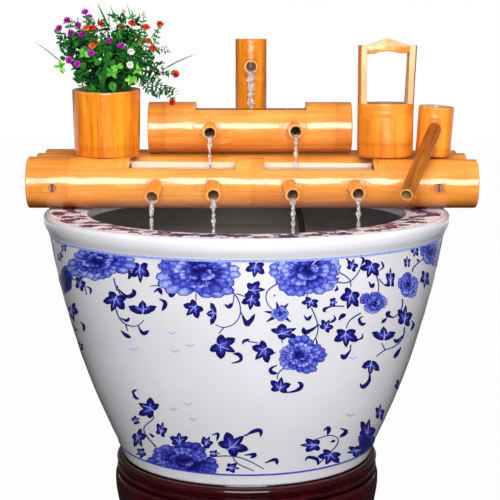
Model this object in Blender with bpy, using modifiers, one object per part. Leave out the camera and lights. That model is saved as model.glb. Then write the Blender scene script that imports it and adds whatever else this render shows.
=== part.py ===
"""Bamboo fountain laid across a porcelain fish bowl, with the bowl's stand and the pump."""

import math

import bmesh
import bpy
import numpy
from mathutils import Matrix, Vector

# Clearance left between two pieces that touch
GAP = 0.0003

# Sides of the round pieces
BOWL_SIDES = 40
RING_SIDES = 40
CULM_SIDES = 24
SPOUT_SIDES = 16
SMALL_SIDES = 12

# Wooden stand, with its middle on the bowl's axis
BOWL_X = -0.0046
STAND_HEIGHT = 0.150
STAND_RADIUS = 0.179
SEAT_OUTER = 0.165
SEAT_INNER = 0.150
RING_DEPTH = 0.025
RING_SHOULDER = 0.0065
RING_CREST_DROP = 0.005
GROOVE_DEPTH = 0.0085
APRON_DEPTH = 0.045
APRON_WALL = 0.022
APRON_TUCK = 0.012
ARCH_RADIUS = 0.045
ARCH_RISE = 0.018
ARCH_OVERRUN = 0.020
LEG_COUNT = 5
LEG_THICKNESS = 0.024
BASE_RING_OUTER = 0.178
BASE_RING_WIDTH = 0.046
BASE_RING_HEIGHT = 0.018
PAD_RADIUS = 0.013
PAD_HEIGHT = 0.008

# Porcelain bowl
BOWL_HEIGHT = 0.331
RIM_OUTER = 0.266
RIM_INNER = 0.212
RIM_FLAT_INNER = 0.234
RIM_DROP = 0.0017
RIM_BULGE = 0.271
LIP_THICKNESS = 0.015
LIP_ROUND = 0.004
ROLL_HALF_DEPTH = 0.006
ROLL_DEPTH = 0.017
ROLL_TUCK = 0.0015
HOLLOW_ROUND = 0.020
BOWL_WALL = 0.010
BOWL_FLOOR = 0.014
FLOOR_RADIUS = 0.150
FOOT_RADIUS = 0.170
FOOT_WIDTH = 0.013
FOOT_RECESS = 0.006
# Share of the height below the rim, and the outer radius there
BOWL_SIDE = ((0.10, 0.2625), (0.34, 0.248), (0.61, 0.223), (0.84, 0.192), (0.97, 0.1735))

# Bamboo rack: three culms across the rim
RACK_X = 0.0032
MIDDLE_X = 0.0016
BACK_X = 0.0015
FRONT_Y = 0.015
CULM_WALL = 0.0068
SEPTUM = 0.007
FRONT_RADIUS = 0.0337
FRONT_LENGTH = 0.605
LEFT_NODE_INSET = 0.0563
RIGHT_NODE_INSET = 0.0547
FRONT_MIDDLE_NODE = 0.006
MIDDLE_RADIUS = 0.0340
MIDDLE_LENGTH = 0.597
MIDDLE_NODES = (-0.170, 0.080)
BACK_RADIUS = 0.0335
BACK_LENGTH = 0.591
BACK_NODES = (-0.120, 0.130)
SLOT_DEPTH = 0.010
SLOTS = ((-0.162, -0.020), (0.019, 0.166))

# Dowels that tie the culms, each split at its ends by a wedge
LEFT_DOWEL_INSET = 0.0360
RIGHT_DOWEL_INSET = 0.0538
DOWEL_DROP = 0.003
DOWEL_RADIUS = 0.0057
DOWEL_PROUD = 0.0008
WEDGE_THICKNESS = 0.0022
WEDGE_LENGTH = 0.012

# Spouts of the front culm: place along it, slope and sideways turn in degrees
SPOUT_RADIUS = 0.010
SPOUT_BORE = 0.007
SPOUT_TAIL = 0.004
FRONT_SPOUTS = ((-0.126, 20.0, -7.0), (-0.050, 15.0, 4.0), (0.053, 14.0, 7.0), (0.139, 11.0, 7.0))
FRONT_REACH = 0.027
FRONT_SPOUT_DROP = 0.003

# Upper trough, pegged on the middle culm
TROUGH_RADIUS = 0.0355
TROUGH_LENGTH = 0.281
TROUGH_NODES = (-0.118, 0.118)
TROUGH_CUT = (-0.075, 0.077)
TROUGH_CUT_DEPTH = 0.0097
TROUGH_SPOUTS = ((-0.055, 10.0, 1.0), (0.061, 5.0, 3.0))
TROUGH_REACH = 0.020
PEG_X = (-0.105, 0.105)
PEG_RADIUS = 0.004
PEG_SHOWS = 0.005

# Riser culm in the back culm, with the topmost spout
RISER_X = 0.0014
RISER_RADIUS = 0.0222
RISER_WALL = 0.0045
RISER_TOP = 0.226
RISER_TAIL = 0.009
RISER_NODE = 0.150
TOP_SPOUT_HEIGHT = 0.188
TOP_SPOUT_SLOPE = 6.0
TOP_SPOUT_REACH = 0.010

# Pieces that stand on the front and middle culms
SEAT_DEPTH = 0.0010
POT_TO_TROUGH = 0.0091
POT_TOP_RADIUS = 0.0464
POT_FOOT_RADIUS = 0.0443
POT_WALL = 0.0070
POT_HEIGHT = 0.092
POT_FLOOR = 0.010
FOAM_HEIGHT = 0.055
BUCKET_TO_TROUGH = 0.0066
BUCKET_RADIUS = 0.0382
BUCKET_WALL = 0.0070
BUCKET_HEIGHT = 0.0735
BUCKET_FLOOR = 0.010
UPRIGHT_HEIGHT = 0.078
UPRIGHT_HALF_WIDTH = 0.0157
CROSSBAR_BOTTOM = 0.066
CROSSBAR_END = 0.011
CROSSBAR_ARCH = 0.004
CROSSBAR_PEAK = 0.021
CROSSBAR_DEPTH = 0.012
CUP_TO_BUCKET = 0.0035
CUP_RADIUS = 0.0240
CUP_WALL = 0.0035
CUP_HEIGHT = 0.069
CUP_FLOOR = 0.008
CUP_LEAN = 3.4
PIPE_RADIUS = 0.0095
PIPE_BORE = 0.0060
PIPE_TAIL = 0.006
# From the middle of the cup's front wall to the pipe's mouth
PIPE_RUN = (-0.049, -0.123, -0.072)
PIPE_HOLE_HEIGHT = 0.036
PIPE_SHIFT = -0.0045

# Artificial plant, in metres from the middle of the pot's mouth
STEM_RADIUS = 0.006
STEM_SOCKET = 0.040
# Middle, half sizes
LEAF_MASSES = (
    ((0.001, 0.000, 0.046), (0.056, 0.046, 0.044)),
    ((-0.036, -0.004, 0.070), (0.034, 0.030, 0.030)),
    ((0.030, 0.004, 0.078), (0.036, 0.030, 0.024)),
    ((0.072, -0.006, 0.032), (0.024, 0.018, 0.040)),
)
FLOWER_RADIUS = 0.009
FLOWERS = (
    (-0.062, 0.000, 0.082),
    (-0.050, -0.016, 0.094),
    (-0.032, -0.004, 0.103),
    (-0.012, 0.010, 0.098),
    (0.018, 0.004, 0.103),
    (0.046, 0.010, 0.101),
    (0.066, 0.000, 0.080),
    (0.012, -0.026, 0.078),
    (-0.026, -0.032, 0.070),
    (0.088, -0.010, 0.020),
    (0.096, -0.004, 0.044),
)
# Root, tip and root radius of the long leaves
BLADES = (
    ((-0.040, 0.000, 0.040), (-0.095, -0.006, 0.064), 0.005),
    ((-0.010, 0.006, 0.070), (-0.012, 0.012, 0.116), 0.005),
    ((0.040, 0.004, 0.030), (0.116, 0.000, 0.050), 0.005),
    ((0.020, 0.000, 0.080), (0.030, 0.006, 0.114), 0.004),
)

# Submersible pump on the bowl's floor; its motor lies along X
PUMP_X = 0.060
PUMP_Y = 0.050
SUCKER_RADIUS = 0.009
SUCKER_HEIGHT = 0.007
HOUSING_LENGTH = 0.052
HOUSING_WIDTH = 0.048
HOUSING_HEIGHT = 0.046
VOLUTE_LENGTH = 0.018
VOLUTE_WIDTH = 0.044
VOLUTE_HEIGHT = 0.042
CHAMBER_RADIUS = 0.0155
CHAMBER_DEPTH = 0.012
INLET_RADIUS = 0.006
WELL_RADIUS = 0.0086
WELL_DEPTH = 0.030
MAGNET_RADIUS = 0.0078
MAGNET_LENGTH = 0.026
IMPELLER_RADIUS = 0.0130
IMPELLER_DISC = 0.002
BLADE_COUNT = 4
BLADE_LENGTH = 0.006
BLADE_THICKNESS = 0.0016
SHAFT_RADIUS = 0.0012
SHAFT_SOCKET = 0.003
NOZZLE_RADIUS = 0.004
NOZZLE_BORE = 0.0025
STRAINER_LENGTH = 0.022
STRAINER_WALL = 0.002
STRAINER_SLOT = 0.0026
STRAINER_SLOTS = (-0.017, -0.0125, 0.0125, 0.017)
DIAL_RADIUS = 0.008
DIAL_THICKNESS = 0.003
DIAL_PIN = 0.002
GLAND_RADIUS = 0.006
GLAND_LENGTH = 0.014

# Supply hose: chosen points from the pump's nozzle up into the riser
HOSE_RADIUS = 0.004
HOSE_HOLE = 0.0070
HOSE_STEP = 0.016
HOSE_ROUTE = (
    (0.0477, 0.0500, 0.2317),
    (0.0478, 0.0502, 0.2480),
    (0.0515, 0.0555, 0.2750),
    (0.0615, 0.0720, 0.3150),
    (0.0715, 0.0960, 0.3600),
    (0.0765, 0.1190, 0.4000),
    (0.0760, 0.1375, 0.4350),
    (0.0705, 0.1478, 0.4600),
    (0.0655, 0.1508, 0.4780),
    (0.0625, 0.1508, 0.4900),
    (0.0545, 0.1508, 0.5010),
    (0.0430, 0.1508, 0.5085),
    (0.0300, 0.1508, 0.5125),
    (0.0180, 0.1508, 0.5190),
    (0.0085, 0.1508, 0.5290),
    (0.0032, 0.1508, 0.5430),
    (0.0014, 0.1508, 0.5600),
    (0.0014, 0.1508, 0.6000),
    (0.0014, 0.1508, 0.6473),
)

# Levels and places worked out from the sizes above
RIM_Z = STAND_HEIGHT + GAP + BOWL_HEIGHT
FLOOR_Z = STAND_HEIGHT + GAP + BOWL_FLOOR
MIDDLE_Y = FRONT_Y + FRONT_RADIUS + GAP + MIDDLE_RADIUS
BACK_Y = MIDDLE_Y + MIDDLE_RADIUS + GAP + BACK_RADIUS
FRONT_Z = RIM_Z + GAP + FRONT_RADIUS
MIDDLE_Z = RIM_Z + GAP + MIDDLE_RADIUS
BACK_Z = RIM_Z + GAP + BACK_RADIUS
TROUGH_Z = MIDDLE_Z + MIDDLE_RADIUS + GAP + TROUGH_RADIUS
VALLEY_Y = (FRONT_Y + MIDDLE_Y) / 2
STANDING_Z = min(FRONT_Z + FRONT_RADIUS, MIDDLE_Z + MIDDLE_RADIUS) - SEAT_DEPTH
POT_X = -TROUGH_LENGTH / 2 - POT_TO_TROUGH - POT_TOP_RADIUS
BUCKET_X = TROUGH_LENGTH / 2 + BUCKET_TO_TROUGH + BUCKET_RADIUS
CUP_X = BUCKET_X + BUCKET_RADIUS + CUP_TO_BUCKET + CUP_RADIUS
FRONT_LEFT = RACK_X - FRONT_LENGTH / 2
FRONT_RIGHT = RACK_X + FRONT_LENGTH / 2
DOWEL_X = (FRONT_LEFT + LEFT_DOWEL_INSET, FRONT_RIGHT - RIGHT_DOWEL_INSET)
FRONT_NODES = (FRONT_LEFT + LEFT_NODE_INSET, FRONT_MIDDLE_NODE, FRONT_RIGHT - RIGHT_NODE_INSET)
PUMP_Z = FLOOR_Z + GAP + SUCKER_HEIGHT + GAP
MOTOR_Z = PUMP_Z + HOUSING_HEIGHT / 2
VOLUTE_X = PUMP_X - GAP
STRAINER_X = VOLUTE_X - VOLUTE_LENGTH - GAP
NOZZLE_X = VOLUTE_X - VOLUTE_LENGTH + CHAMBER_DEPTH / 2


def clear_scene():
    """Remove every object, so that the script can be run again."""
    for thing in list(bpy.data.objects):
        bpy.data.objects.remove(thing, do_unlink=True)


def new_collection(name):
    """A collection linked to the scene."""
    group = bpy.data.collections.new(name)
    bpy.context.scene.collection.children.link(group)
    return group


def make_material(name, colour, roughness, metallic=0.0):
    """A plain Principled material."""
    finish = bpy.data.materials.new(name)
    finish.use_nodes = True
    shader = finish.node_tree.nodes["Principled BSDF"]
    shader.inputs["Base Color"].default_value = (*colour, 1.0)
    shader.inputs["Roughness"].default_value = roughness
    shader.inputs["Metallic"].default_value = metallic
    finish.diffuse_color = (*colour, 1.0)
    return finish


clear_scene()
PARTS = new_collection("bamboo_fountain")
CUTTERS = new_collection("cutters")

BAMBOO = make_material("lacquered bamboo", (0.78, 0.40, 0.11), 0.22)
PEG_WOOD = make_material("peg wood", (0.50, 0.25, 0.14), 0.5)
PORCELAIN = make_material("porcelain", (0.88, 0.87, 0.88), 0.12)
ROSEWOOD = make_material("rosewood", (0.14, 0.015, 0.012), 0.2)
PUMP_PLASTIC = make_material("pump plastic", (0.03, 0.03, 0.035), 0.45)
ROTOR_PLASTIC = make_material("rotor plastic", (0.75, 0.75, 0.73), 0.4)
CERAMIC_PIN = make_material("ceramic pin", (0.85, 0.85, 0.82), 0.3)
SOFT_RUBBER = make_material("rubber", (0.04, 0.04, 0.04), 0.7)
FLORAL_FOAM = make_material("floral foam", (0.12, 0.22, 0.08), 0.95)
LEAF_PLASTIC = make_material("leaf plastic", (0.05, 0.28, 0.05), 0.5)


def add_part(name, data, finish, matrix=None):
    """Link a new named piece, with its material and its place."""
    piece = bpy.data.objects.new(name, data)
    PARTS.objects.link(piece)
    data.materials.append(finish)
    if matrix is not None:
        piece.matrix_world = matrix
    if isinstance(data, bpy.types.Mesh):
        data.shade_smooth()
    return piece


def add_cutter(name, data, matrix=None):
    """Link a solid that only takes material away."""
    tool = bpy.data.objects.new(name, data)
    CUTTERS.objects.link(tool)
    tool.hide_render = True
    tool.display_type = "WIRE"
    if matrix is not None:
        tool.matrix_world = matrix
    return tool


def cut(piece, *tools):
    """Take each cutter away from the piece."""
    for tool in tools:
        step = piece.modifiers.new(tool.name, "BOOLEAN")
        step.operation = "DIFFERENCE"
        step.solver = "EXACT"
        step.object = tool


def join(piece, *tools):
    """Unite each solid with the piece."""
    for tool in tools:
        step = piece.modifiers.new(tool.name, "BOOLEAN")
        step.operation = "UNION"
        step.solver = "EXACT"
        step.object = tool


def across_flats(radius, sides):
    """Corner radius of a polygon whose flats lie at the given radius."""
    return radius / math.cos(math.pi / sides)


def along(start, direction):
    """Matrix that puts local Z along a direction, with its origin at start."""
    turn = Vector(direction).to_track_quat("Z", "Y").to_matrix().to_4x4()
    return Matrix.Translation(Vector(start)) @ turn


def rod_mesh(name, radius, length, sides, end_radius=None):
    """A closed round rod from the origin along +Z."""
    data = bpy.data.meshes.new(name)
    shape = bmesh.new()
    bmesh.ops.create_cone(
        shape,
        cap_ends=True,
        segments=sides,
        radius1=radius,
        radius2=radius if end_radius is None else end_radius,
        depth=length,
        matrix=Matrix.Translation((0, 0, length / 2)) @ Matrix.Rotation(math.pi / sides, 4, "Z"),
    )
    shape.to_mesh(data)
    shape.free()
    return data


def rod_cutter(name, radius, start, end, sides=SPOUT_SIDES):
    """A round cutter between two points."""
    run = Vector(end) - Vector(start)
    return add_cutter(name, rod_mesh(name, radius, run.length, sides), along(start, run))


def box_mesh(name, low, high):
    """A closed box between two corners."""
    low, high = Vector(low), Vector(high)
    data = bpy.data.meshes.new(name)
    shape = bmesh.new()
    bmesh.ops.create_cube(shape, size=1.0)
    bmesh.ops.scale(shape, vec=high - low, verts=shape.verts)
    bmesh.ops.translate(shape, vec=(low + high) / 2, verts=shape.verts)
    shape.to_mesh(data)
    shape.free()
    return data


def box_cutter(name, low, high):
    """A box cutter between two corners."""
    return add_cutter(name, box_mesh(name, low, high))


def turned(name, profile, sides, finish, matrix, closed=True):
    """A turned piece: the profile (radius, height) runs down its outer side."""
    data = bpy.data.meshes.new(name)
    points = [(radius, 0.0, height) for radius, height in profile]
    edges = [(i, i + 1) for i in range(len(points) - 1)]
    if closed:
        edges.append((len(points) - 1, 0))
    data.from_pydata(points, edges, [])
    piece = add_part(name, data, finish, matrix)
    screw = piece.modifiers.new("turn", "SCREW")
    screw.axis = "Z"
    screw.angle = 2 * math.pi
    screw.steps = sides
    screw.render_steps = sides
    screw.use_merge_vertices = True
    screw.merge_threshold = 0.00001
    screw.use_smooth_shade = True
    return piece


def smooth_line(points, steps):
    """Points along a smooth curve through the given ones, with steps in each span."""
    ends = [points[0], *points, points[-1]]
    line = []
    for i in range(1, len(ends) - 2):
        before, here, there, after = (Vector(p) for p in ends[i - 1 : i + 3])
        for k in range(steps):
            t = k / steps
            line.append(
                0.5
                * (
                    2 * here
                    + (there - before) * t
                    + (2 * before - 5 * here + 4 * there - after) * t**2
                    + (3 * here - before - 3 * there + after) * t**3
                )
            )
    line.append(Vector(points[-1]))
    return line


def arc(centre, radius, start, end, count):
    """Points (radius, height) on an arc, with its angles in degrees."""
    angles = [math.radians(start + (end - start) * i / (count - 1)) for i in range(count)]
    return [(centre[0] + radius * math.cos(a), centre[1] + radius * math.sin(a)) for a in angles]


# Wooden stand


def stand_top_ring():
    """Moulded ring whose raised inner seat carries the bowl's foot."""
    crest = STAND_RADIUS - RING_SHOULDER
    shoulder = arc((crest, -RING_CREST_DROP - RING_SHOULDER), RING_SHOULDER, 120, 0, 5)
    foot = arc((crest, -RING_DEPTH + RING_SHOULDER / 2), RING_SHOULDER, 0, -30, 2)
    profile = [
        (SEAT_INNER, -RING_DEPTH),
        (SEAT_INNER, 0),
        (SEAT_OUTER, 0),
        (SEAT_OUTER, -GROOVE_DEPTH),
        *shoulder,
        *foot,
        (crest, -RING_DEPTH),
    ]
    turned("stand_top_ring", profile, RING_SIDES, ROSEWOOD, Matrix.Translation((BOWL_X, 0, STAND_HEIGHT)))


def stand_apron(top):
    """Curved skirt under the ring, with an arch between each two legs."""
    bulge = STAND_RADIUS + 0.0015
    outer = smooth_line(
        [(bulge - 0.002, 0), (bulge, -0.1 * APRON_DEPTH), (bulge - 0.3 * APRON_TUCK, -0.5 * APRON_DEPTH),
         (bulge - APRON_TUCK, -APRON_DEPTH)], 2
    )
    inner = STAND_RADIUS - APRON_WALL
    profile = [(inner, -APRON_DEPTH), (inner, 0), *outer]
    apron = turned("stand_apron", profile, RING_SIDES, ROSEWOOD, Matrix.Translation((BOWL_X, 0, top)))
    for i in range(LEG_COUNT):
        middle = leg_angle(i) + math.pi / LEG_COUNT
        outward = Vector((math.cos(middle), math.sin(middle), 0))
        centre = Vector((BOWL_X, 0, top - APRON_DEPTH + ARCH_RISE - ARCH_RADIUS))
        start = centre + outward * (inner - ARCH_OVERRUN)
        end = centre + outward * (STAND_RADIUS + ARCH_OVERRUN)
        cut(apron, rod_cutter(f"arch_{i + 1}", ARCH_RADIUS, start, end, CULM_SIDES))


def leg_angle(index):
    """Direction of a leg from the bowl's axis; the first points forward."""
    return -math.pi / 2 + 2 * math.pi * index / LEG_COUNT


def stand_leg(index, bottom, top):
    """Bowed leg: a smooth flat outline, thick across."""
    height = top - bottom
    outer = STAND_RADIUS - APRON_TUCK
    outline = [
        (outer, height),
        (outer + 0.004, 0.80 * height),
        (outer + 0.001, 0.55 * height),
        (outer - 0.004, 0.32 * height),
        (outer + 0.001, 0.12 * height),
        (outer + 0.004, 0),
        (outer - 0.024, 0),
        (outer - 0.023, 0.20 * height),
        (outer - 0.020, 0.50 * height),
        (outer - 0.020, 0.80 * height),
        (outer - 0.022, height),
    ]
    data = bpy.data.curves.new(f"stand_leg_{index + 1}", "CURVE")
    data.dimensions = "2D"
    data.fill_mode = "BOTH"
    data.extrude = LEG_THICKNESS / 2
    spline = data.splines.new("POLY")
    points = smooth_line(outline[:6], 2) + smooth_line(outline[6:], 2)
    spline.points.add(len(points) - 1)
    for place, point in zip(spline.points, points):
        place.co = (point[0], point[1], 0, 1)
    spline.use_cyclic_u = True
    angle = leg_angle(index)
    outward = Vector((math.cos(angle), math.sin(angle), 0))
    across = outward.cross(Vector((0, 0, 1)))
    frame = Matrix((outward, Vector((0, 0, 1)), across)).transposed().to_4x4()
    add_part(f"stand_leg_{index + 1}", data, ROSEWOOD, Matrix.Translation((BOWL_X, 0, bottom)) @ frame)


def stand():
    """The whole stand, from the seat down to the pads on the floor."""
    stand_top_ring()
    apron_top = STAND_HEIGHT - RING_DEPTH - GAP
    stand_apron(apron_top)
    ring_bottom = PAD_HEIGHT + GAP
    ring_top = ring_bottom + BASE_RING_HEIGHT
    inner = BASE_RING_OUTER - BASE_RING_WIDTH
    profile = [
        (inner, 0),
        (inner, BASE_RING_HEIGHT),
        (BASE_RING_OUTER - 0.004, BASE_RING_HEIGHT),
        (BASE_RING_OUTER, BASE_RING_HEIGHT - 0.005),
        (BASE_RING_OUTER, 0.005),
        (BASE_RING_OUTER - 0.003, 0),
    ]
    turned("stand_base_ring", profile, RING_SIDES, ROSEWOOD, Matrix.Translation((BOWL_X, 0, ring_bottom)))
    pad_distance = BASE_RING_OUTER - BASE_RING_WIDTH / 2
    for i in range(LEG_COUNT):
        stand_leg(i, ring_top + GAP, apron_top - APRON_DEPTH - GAP)
        angle = leg_angle(i)
        place = (BOWL_X + pad_distance * math.cos(angle), pad_distance * math.sin(angle), 0)
        pad = rod_mesh(f"stand_pad_{i + 1}", PAD_RADIUS, PAD_HEIGHT, SMALL_SIDES)
        add_part(f"stand_pad_{i + 1}", pad, ROSEWOOD, Matrix.Translation(place))


# Porcelain bowl


def bowl():
    """Deep bowl with a wide flat rim, turned in one piece."""
    roll = [
        (RIM_OUTER, BOWL_HEIGHT),
        (RIM_BULGE, BOWL_HEIGHT - ROLL_HALF_DEPTH),
        (RIM_BULGE - ROLL_TUCK, BOWL_HEIGHT - ROLL_DEPTH),
    ]
    side = [(radius, BOWL_HEIGHT * (1 - share)) for share, radius in BOWL_SIDE]
    outer = smooth_line([*roll, *side, (FOOT_RADIUS, 0)], 2)
    heights = [point[1] for point in reversed(outer)]
    radii = [point[0] for point in reversed(outer)]
    lip_bottom = BOWL_HEIGHT - LIP_THICKNESS
    inner_top = BOWL_HEIGHT - RIM_DROP
    wall_bottom = BOWL_FLOOR + HOLLOW_ROUND
    inner = []
    for i in range(8):
        height = wall_bottom + (lip_bottom - HOLLOW_ROUND - wall_bottom) * i / 7
        inner.append((float(numpy.interp(height, heights, radii)) - BOWL_WALL, height))
    profile = [
        (0, BOWL_FLOOR),
        (FLOOR_RADIUS, BOWL_FLOOR),
        *inner,
        (RIM_INNER + 2 * LIP_ROUND, lip_bottom),
        (RIM_INNER, lip_bottom + LIP_ROUND),
        (RIM_INNER, inner_top - LIP_ROUND),
        (RIM_INNER + LIP_ROUND / 3, inner_top - LIP_ROUND / 3),
        (RIM_INNER + LIP_ROUND, inner_top),
        (RIM_FLAT_INNER, BOWL_HEIGHT),
        *outer,
        (FOOT_RADIUS - FOOT_WIDTH, 0),
        (FOOT_RADIUS - FOOT_WIDTH, FOOT_RECESS),
        (0, FOOT_RECESS),
    ]
    place = Matrix.Translation((BOWL_X, 0, STAND_HEIGHT + GAP))
    turned("bowl", profile, BOWL_SIDES, PORCELAIN, place, closed=False)


# Bamboo rack


def culm(name, radius, length, centre, nodes):
    """A level culm along X, hollow between its nodes and at its open ends."""
    start = (centre[0] - length / 2, centre[1], centre[2])
    corner = across_flats(radius, CULM_SIDES)
    piece = add_part(name, rod_mesh(name, corner, length, CULM_SIDES), BAMBOO, along(start, (1, 0, 0)))
    ends = [centre[0] - length / 2 - 0.01, *nodes, centre[0] + length / 2 + 0.01]
    for i in range(len(ends) - 1):
        low = ends[i] + (SEPTUM / 2 if i else 0)
        high = ends[i + 1] - (SEPTUM / 2 if i < len(ends) - 2 else 0)
        hollow = rod_cutter(
            f"{name}_hollow_{i + 1}", radius - CULM_WALL, (low, centre[1], centre[2]),
            (high, centre[1], centre[2]), CULM_SIDES
        )
        cut(piece, hollow)
    return piece


def spout(name, root, slope, turn, reach, wall):
    """A short bamboo pipe that runs forward and down; its root is on the culm's face."""
    slope, turn = math.radians(slope), math.radians(turn)
    way = Vector((math.cos(slope) * math.sin(turn), -math.cos(slope) * math.cos(turn), -math.sin(slope)))
    tail = wall + SPOUT_TAIL
    start = Vector(root) - way * tail
    length = tail + reach
    profile = [(SPOUT_BORE, 0), (SPOUT_BORE, length), (SPOUT_RADIUS, length), (SPOUT_RADIUS, 0)]
    turned(name, profile, SPOUT_SIDES, BAMBOO, along(start, way))
    hole_start = Vector(root) - way * (tail + 0.004)
    return rod_cutter(f"{name}_hole", SPOUT_RADIUS + GAP, hole_start, Vector(root) + way * 0.012)


def tie_dowel(side, x, tubes):
    """Dowel through the three culms, split at both ends by a wedge."""
    front = FRONT_Y - FRONT_RADIUS - DOWEL_PROUD
    back = BACK_Y + BACK_RADIUS + DOWEL_PROUD
    height = RIM_Z + GAP + min(FRONT_RADIUS, MIDDLE_RADIUS, BACK_RADIUS) - DOWEL_DROP
    name = f"tie_dowel_{side}"
    data = rod_mesh(name, DOWEL_RADIUS, back - front, SMALL_SIDES)
    dowel = add_part(name, data, PEG_WOOD, along((x, front, height), (0, 1, 0)))
    hole = rod_cutter(
        f"{name}_hole", across_flats(DOWEL_RADIUS + GAP, SMALL_SIDES), (x, front - 0.01, height),
        (x, back + 0.01, height), SMALL_SIDES
    )
    for tube in tubes:
        cut(tube, hole)
    half_slot = WEDGE_THICKNESS / 2 + GAP
    for end, outer, inward in (("front", front, 1), ("back", back, -1)):
        inner = outer + inward * (WEDGE_LENGTH + GAP)
        beyond = outer - inward * 0.001
        low = (x - half_slot, min(beyond, inner), height - 2 * DOWEL_RADIUS)
        high = (x + half_slot, max(beyond, inner), height + 2 * DOWEL_RADIUS)
        cut(dowel, box_cutter(f"wedge_slot_{end}_{side}", low, high))
        wedge(f"wedge_{end}_{side}", x, outer, inward, height)


def wedge(name, x, outer, inward, height):
    """Thin hardwood wedge that thins towards its inner end."""
    rise = 0.8 * DOWEL_RADIUS
    inner = outer + inward * WEDGE_LENGTH
    low = (x - WEDGE_THICKNESS / 2, min(outer, inner), height - rise)
    high = (x + WEDGE_THICKNESS / 2, max(outer, inner), height + rise)
    data = box_mesh(name, low, high)
    for vertex in data.vertices:
        if abs(vertex.co.y - inner) < GAP / 2:
            vertex.co.x = x + (vertex.co.x - x) * 0.6
    add_part(name, data, PEG_WOOD)


def trough(middle):
    """Upper culm, open on top, pegged down on the middle culm."""
    centre = (0, MIDDLE_Y, TROUGH_Z)
    piece = culm("upper_trough", TROUGH_RADIUS, TROUGH_LENGTH, centre, TROUGH_NODES)
    crest = TROUGH_Z + TROUGH_RADIUS
    cut(
        piece,
        box_cutter(
            "trough_cut_out",
            (TROUGH_CUT[0], MIDDLE_Y - TROUGH_RADIUS, crest - TROUGH_CUT_DEPTH),
            (TROUGH_CUT[1], MIDDLE_Y + TROUGH_RADIUS, crest + 0.01),
        ),
    )
    face = MIDDLE_Y - TROUGH_RADIUS
    for i, (x, slope, turn) in enumerate(TROUGH_SPOUTS):
        root = (x, face, TROUGH_Z)
        cut(piece, spout(f"trough_spout_{i + 1}", root, slope, turn, TROUGH_REACH, CULM_WALL))
    joint = TROUGH_Z - TROUGH_RADIUS
    half = CULM_WALL + PEG_SHOWS
    for i, x in enumerate(PEG_X):
        name = f"trough_peg_{i + 1}"
        data = rod_mesh(name, PEG_RADIUS, 2 * half, SMALL_SIDES)
        add_part(name, data, PEG_WOOD, Matrix.Translation((x, MIDDLE_Y, joint - half)))
        hole = rod_cutter(
            f"{name}_hole", PEG_RADIUS + GAP, (x, MIDDLE_Y, joint - half - 0.003),
            (x, MIDDLE_Y, joint + half + 0.003), SMALL_SIDES
        )
        cut(piece, hole)
        cut(middle, hole)


def riser(back):
    """Upright culm in the back culm: the hose comes up inside it to a node below the spout."""
    crest = BACK_Z + BACK_RADIUS
    bottom = crest - CULM_WALL - RISER_TAIL
    height = RIM_Z + RISER_TOP - bottom
    inner = RISER_RADIUS - RISER_WALL
    node = RIM_Z + RISER_NODE - bottom
    hole = HOSE_RADIUS + GAP
    profile = [
        (inner, 0),
        (inner, node),
        (hole, node),
        (hole, node + SEPTUM),
        (inner, node + SEPTUM),
        (inner, height),
        (RISER_RADIUS, height),
        (RISER_RADIUS, 0),
    ]
    piece = turned("riser", profile, CULM_SIDES, BAMBOO, Matrix.Translation((RISER_X, BACK_Y, bottom)))
    root = (RISER_X, BACK_Y - RISER_RADIUS, RIM_Z + TOP_SPOUT_HEIGHT)
    cut(piece, spout("top_spout", root, TOP_SPOUT_SLOPE, 0, TOP_SPOUT_REACH, RISER_WALL))
    socket = rod_cutter(
        "riser_socket", across_flats(RISER_RADIUS + GAP, CULM_SIDES), (RISER_X, BACK_Y, BACK_Z),
        (RISER_X, BACK_Y, crest + 0.01), CULM_SIDES
    )
    hose_x = (HOSE_ROUTE[8][0] + HOSE_ROUTE[9][0]) / 2
    inlet = rod_cutter(
        "hose_inlet", HOSE_HOLE, (hose_x, BACK_Y, RIM_Z - 0.01), (hose_x, BACK_Y, RIM_Z + 0.015), SMALL_SIDES
    )
    cut(back, socket, inlet)


def hose():
    """Rubber hose from the pump's nozzle into the back culm and up the riser."""
    data = bpy.data.curves.new("supply_hose", "CURVE")
    data.dimensions = "3D"
    data.bevel_depth = HOSE_RADIUS
    data.bevel_resolution = 2
    data.use_fill_caps = True
    spans = [math.dist(a, b) for a, b in zip(HOSE_ROUTE, HOSE_ROUTE[1:])]
    points = []
    fine = smooth_line(HOSE_ROUTE, 8)
    travelled = 0.0
    for i, point in enumerate(fine):
        travelled += (point - fine[i - 1]).length if i else HOSE_STEP
        if travelled >= HOSE_STEP or i == len(fine) - 1:
            points.append(point)
            travelled = 0.0
    spline = data.splines.new("POLY")
    spline.points.add(len(points) - 1)
    for place, point in zip(spline.points, points):
        place.co = (*point, 1)
    print("hose length along its chosen points, in metres:", round(sum(spans), 3))
    add_part("supply_hose", data, SOFT_RUBBER)


def seat_cutter(name, radius, x, matrix=None):
    """Shallow pocket in the two culms for a piece that stands on them."""
    place = matrix or Matrix.Translation((x, VALLEY_Y, STANDING_Z))
    sink = Matrix.Translation((0, 0, -GAP))
    data = rod_mesh(name, across_flats(radius + GAP, CULM_SIDES), 0.03, CULM_SIDES)
    return add_cutter(name, data, place @ sink)


def cup_shape(name, foot, mouth, wall, height, floor, matrix):
    """A culm cut off under a node: closed floor, open mouth."""
    bore_foot = foot - wall
    bore_mouth = mouth - wall
    profile = [(0, floor), (bore_foot, floor), (bore_mouth, height), (mouth, height), (foot, 0), (0, 0)]
    return turned(name, profile, CULM_SIDES, BAMBOO, matrix, closed=False)


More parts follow.
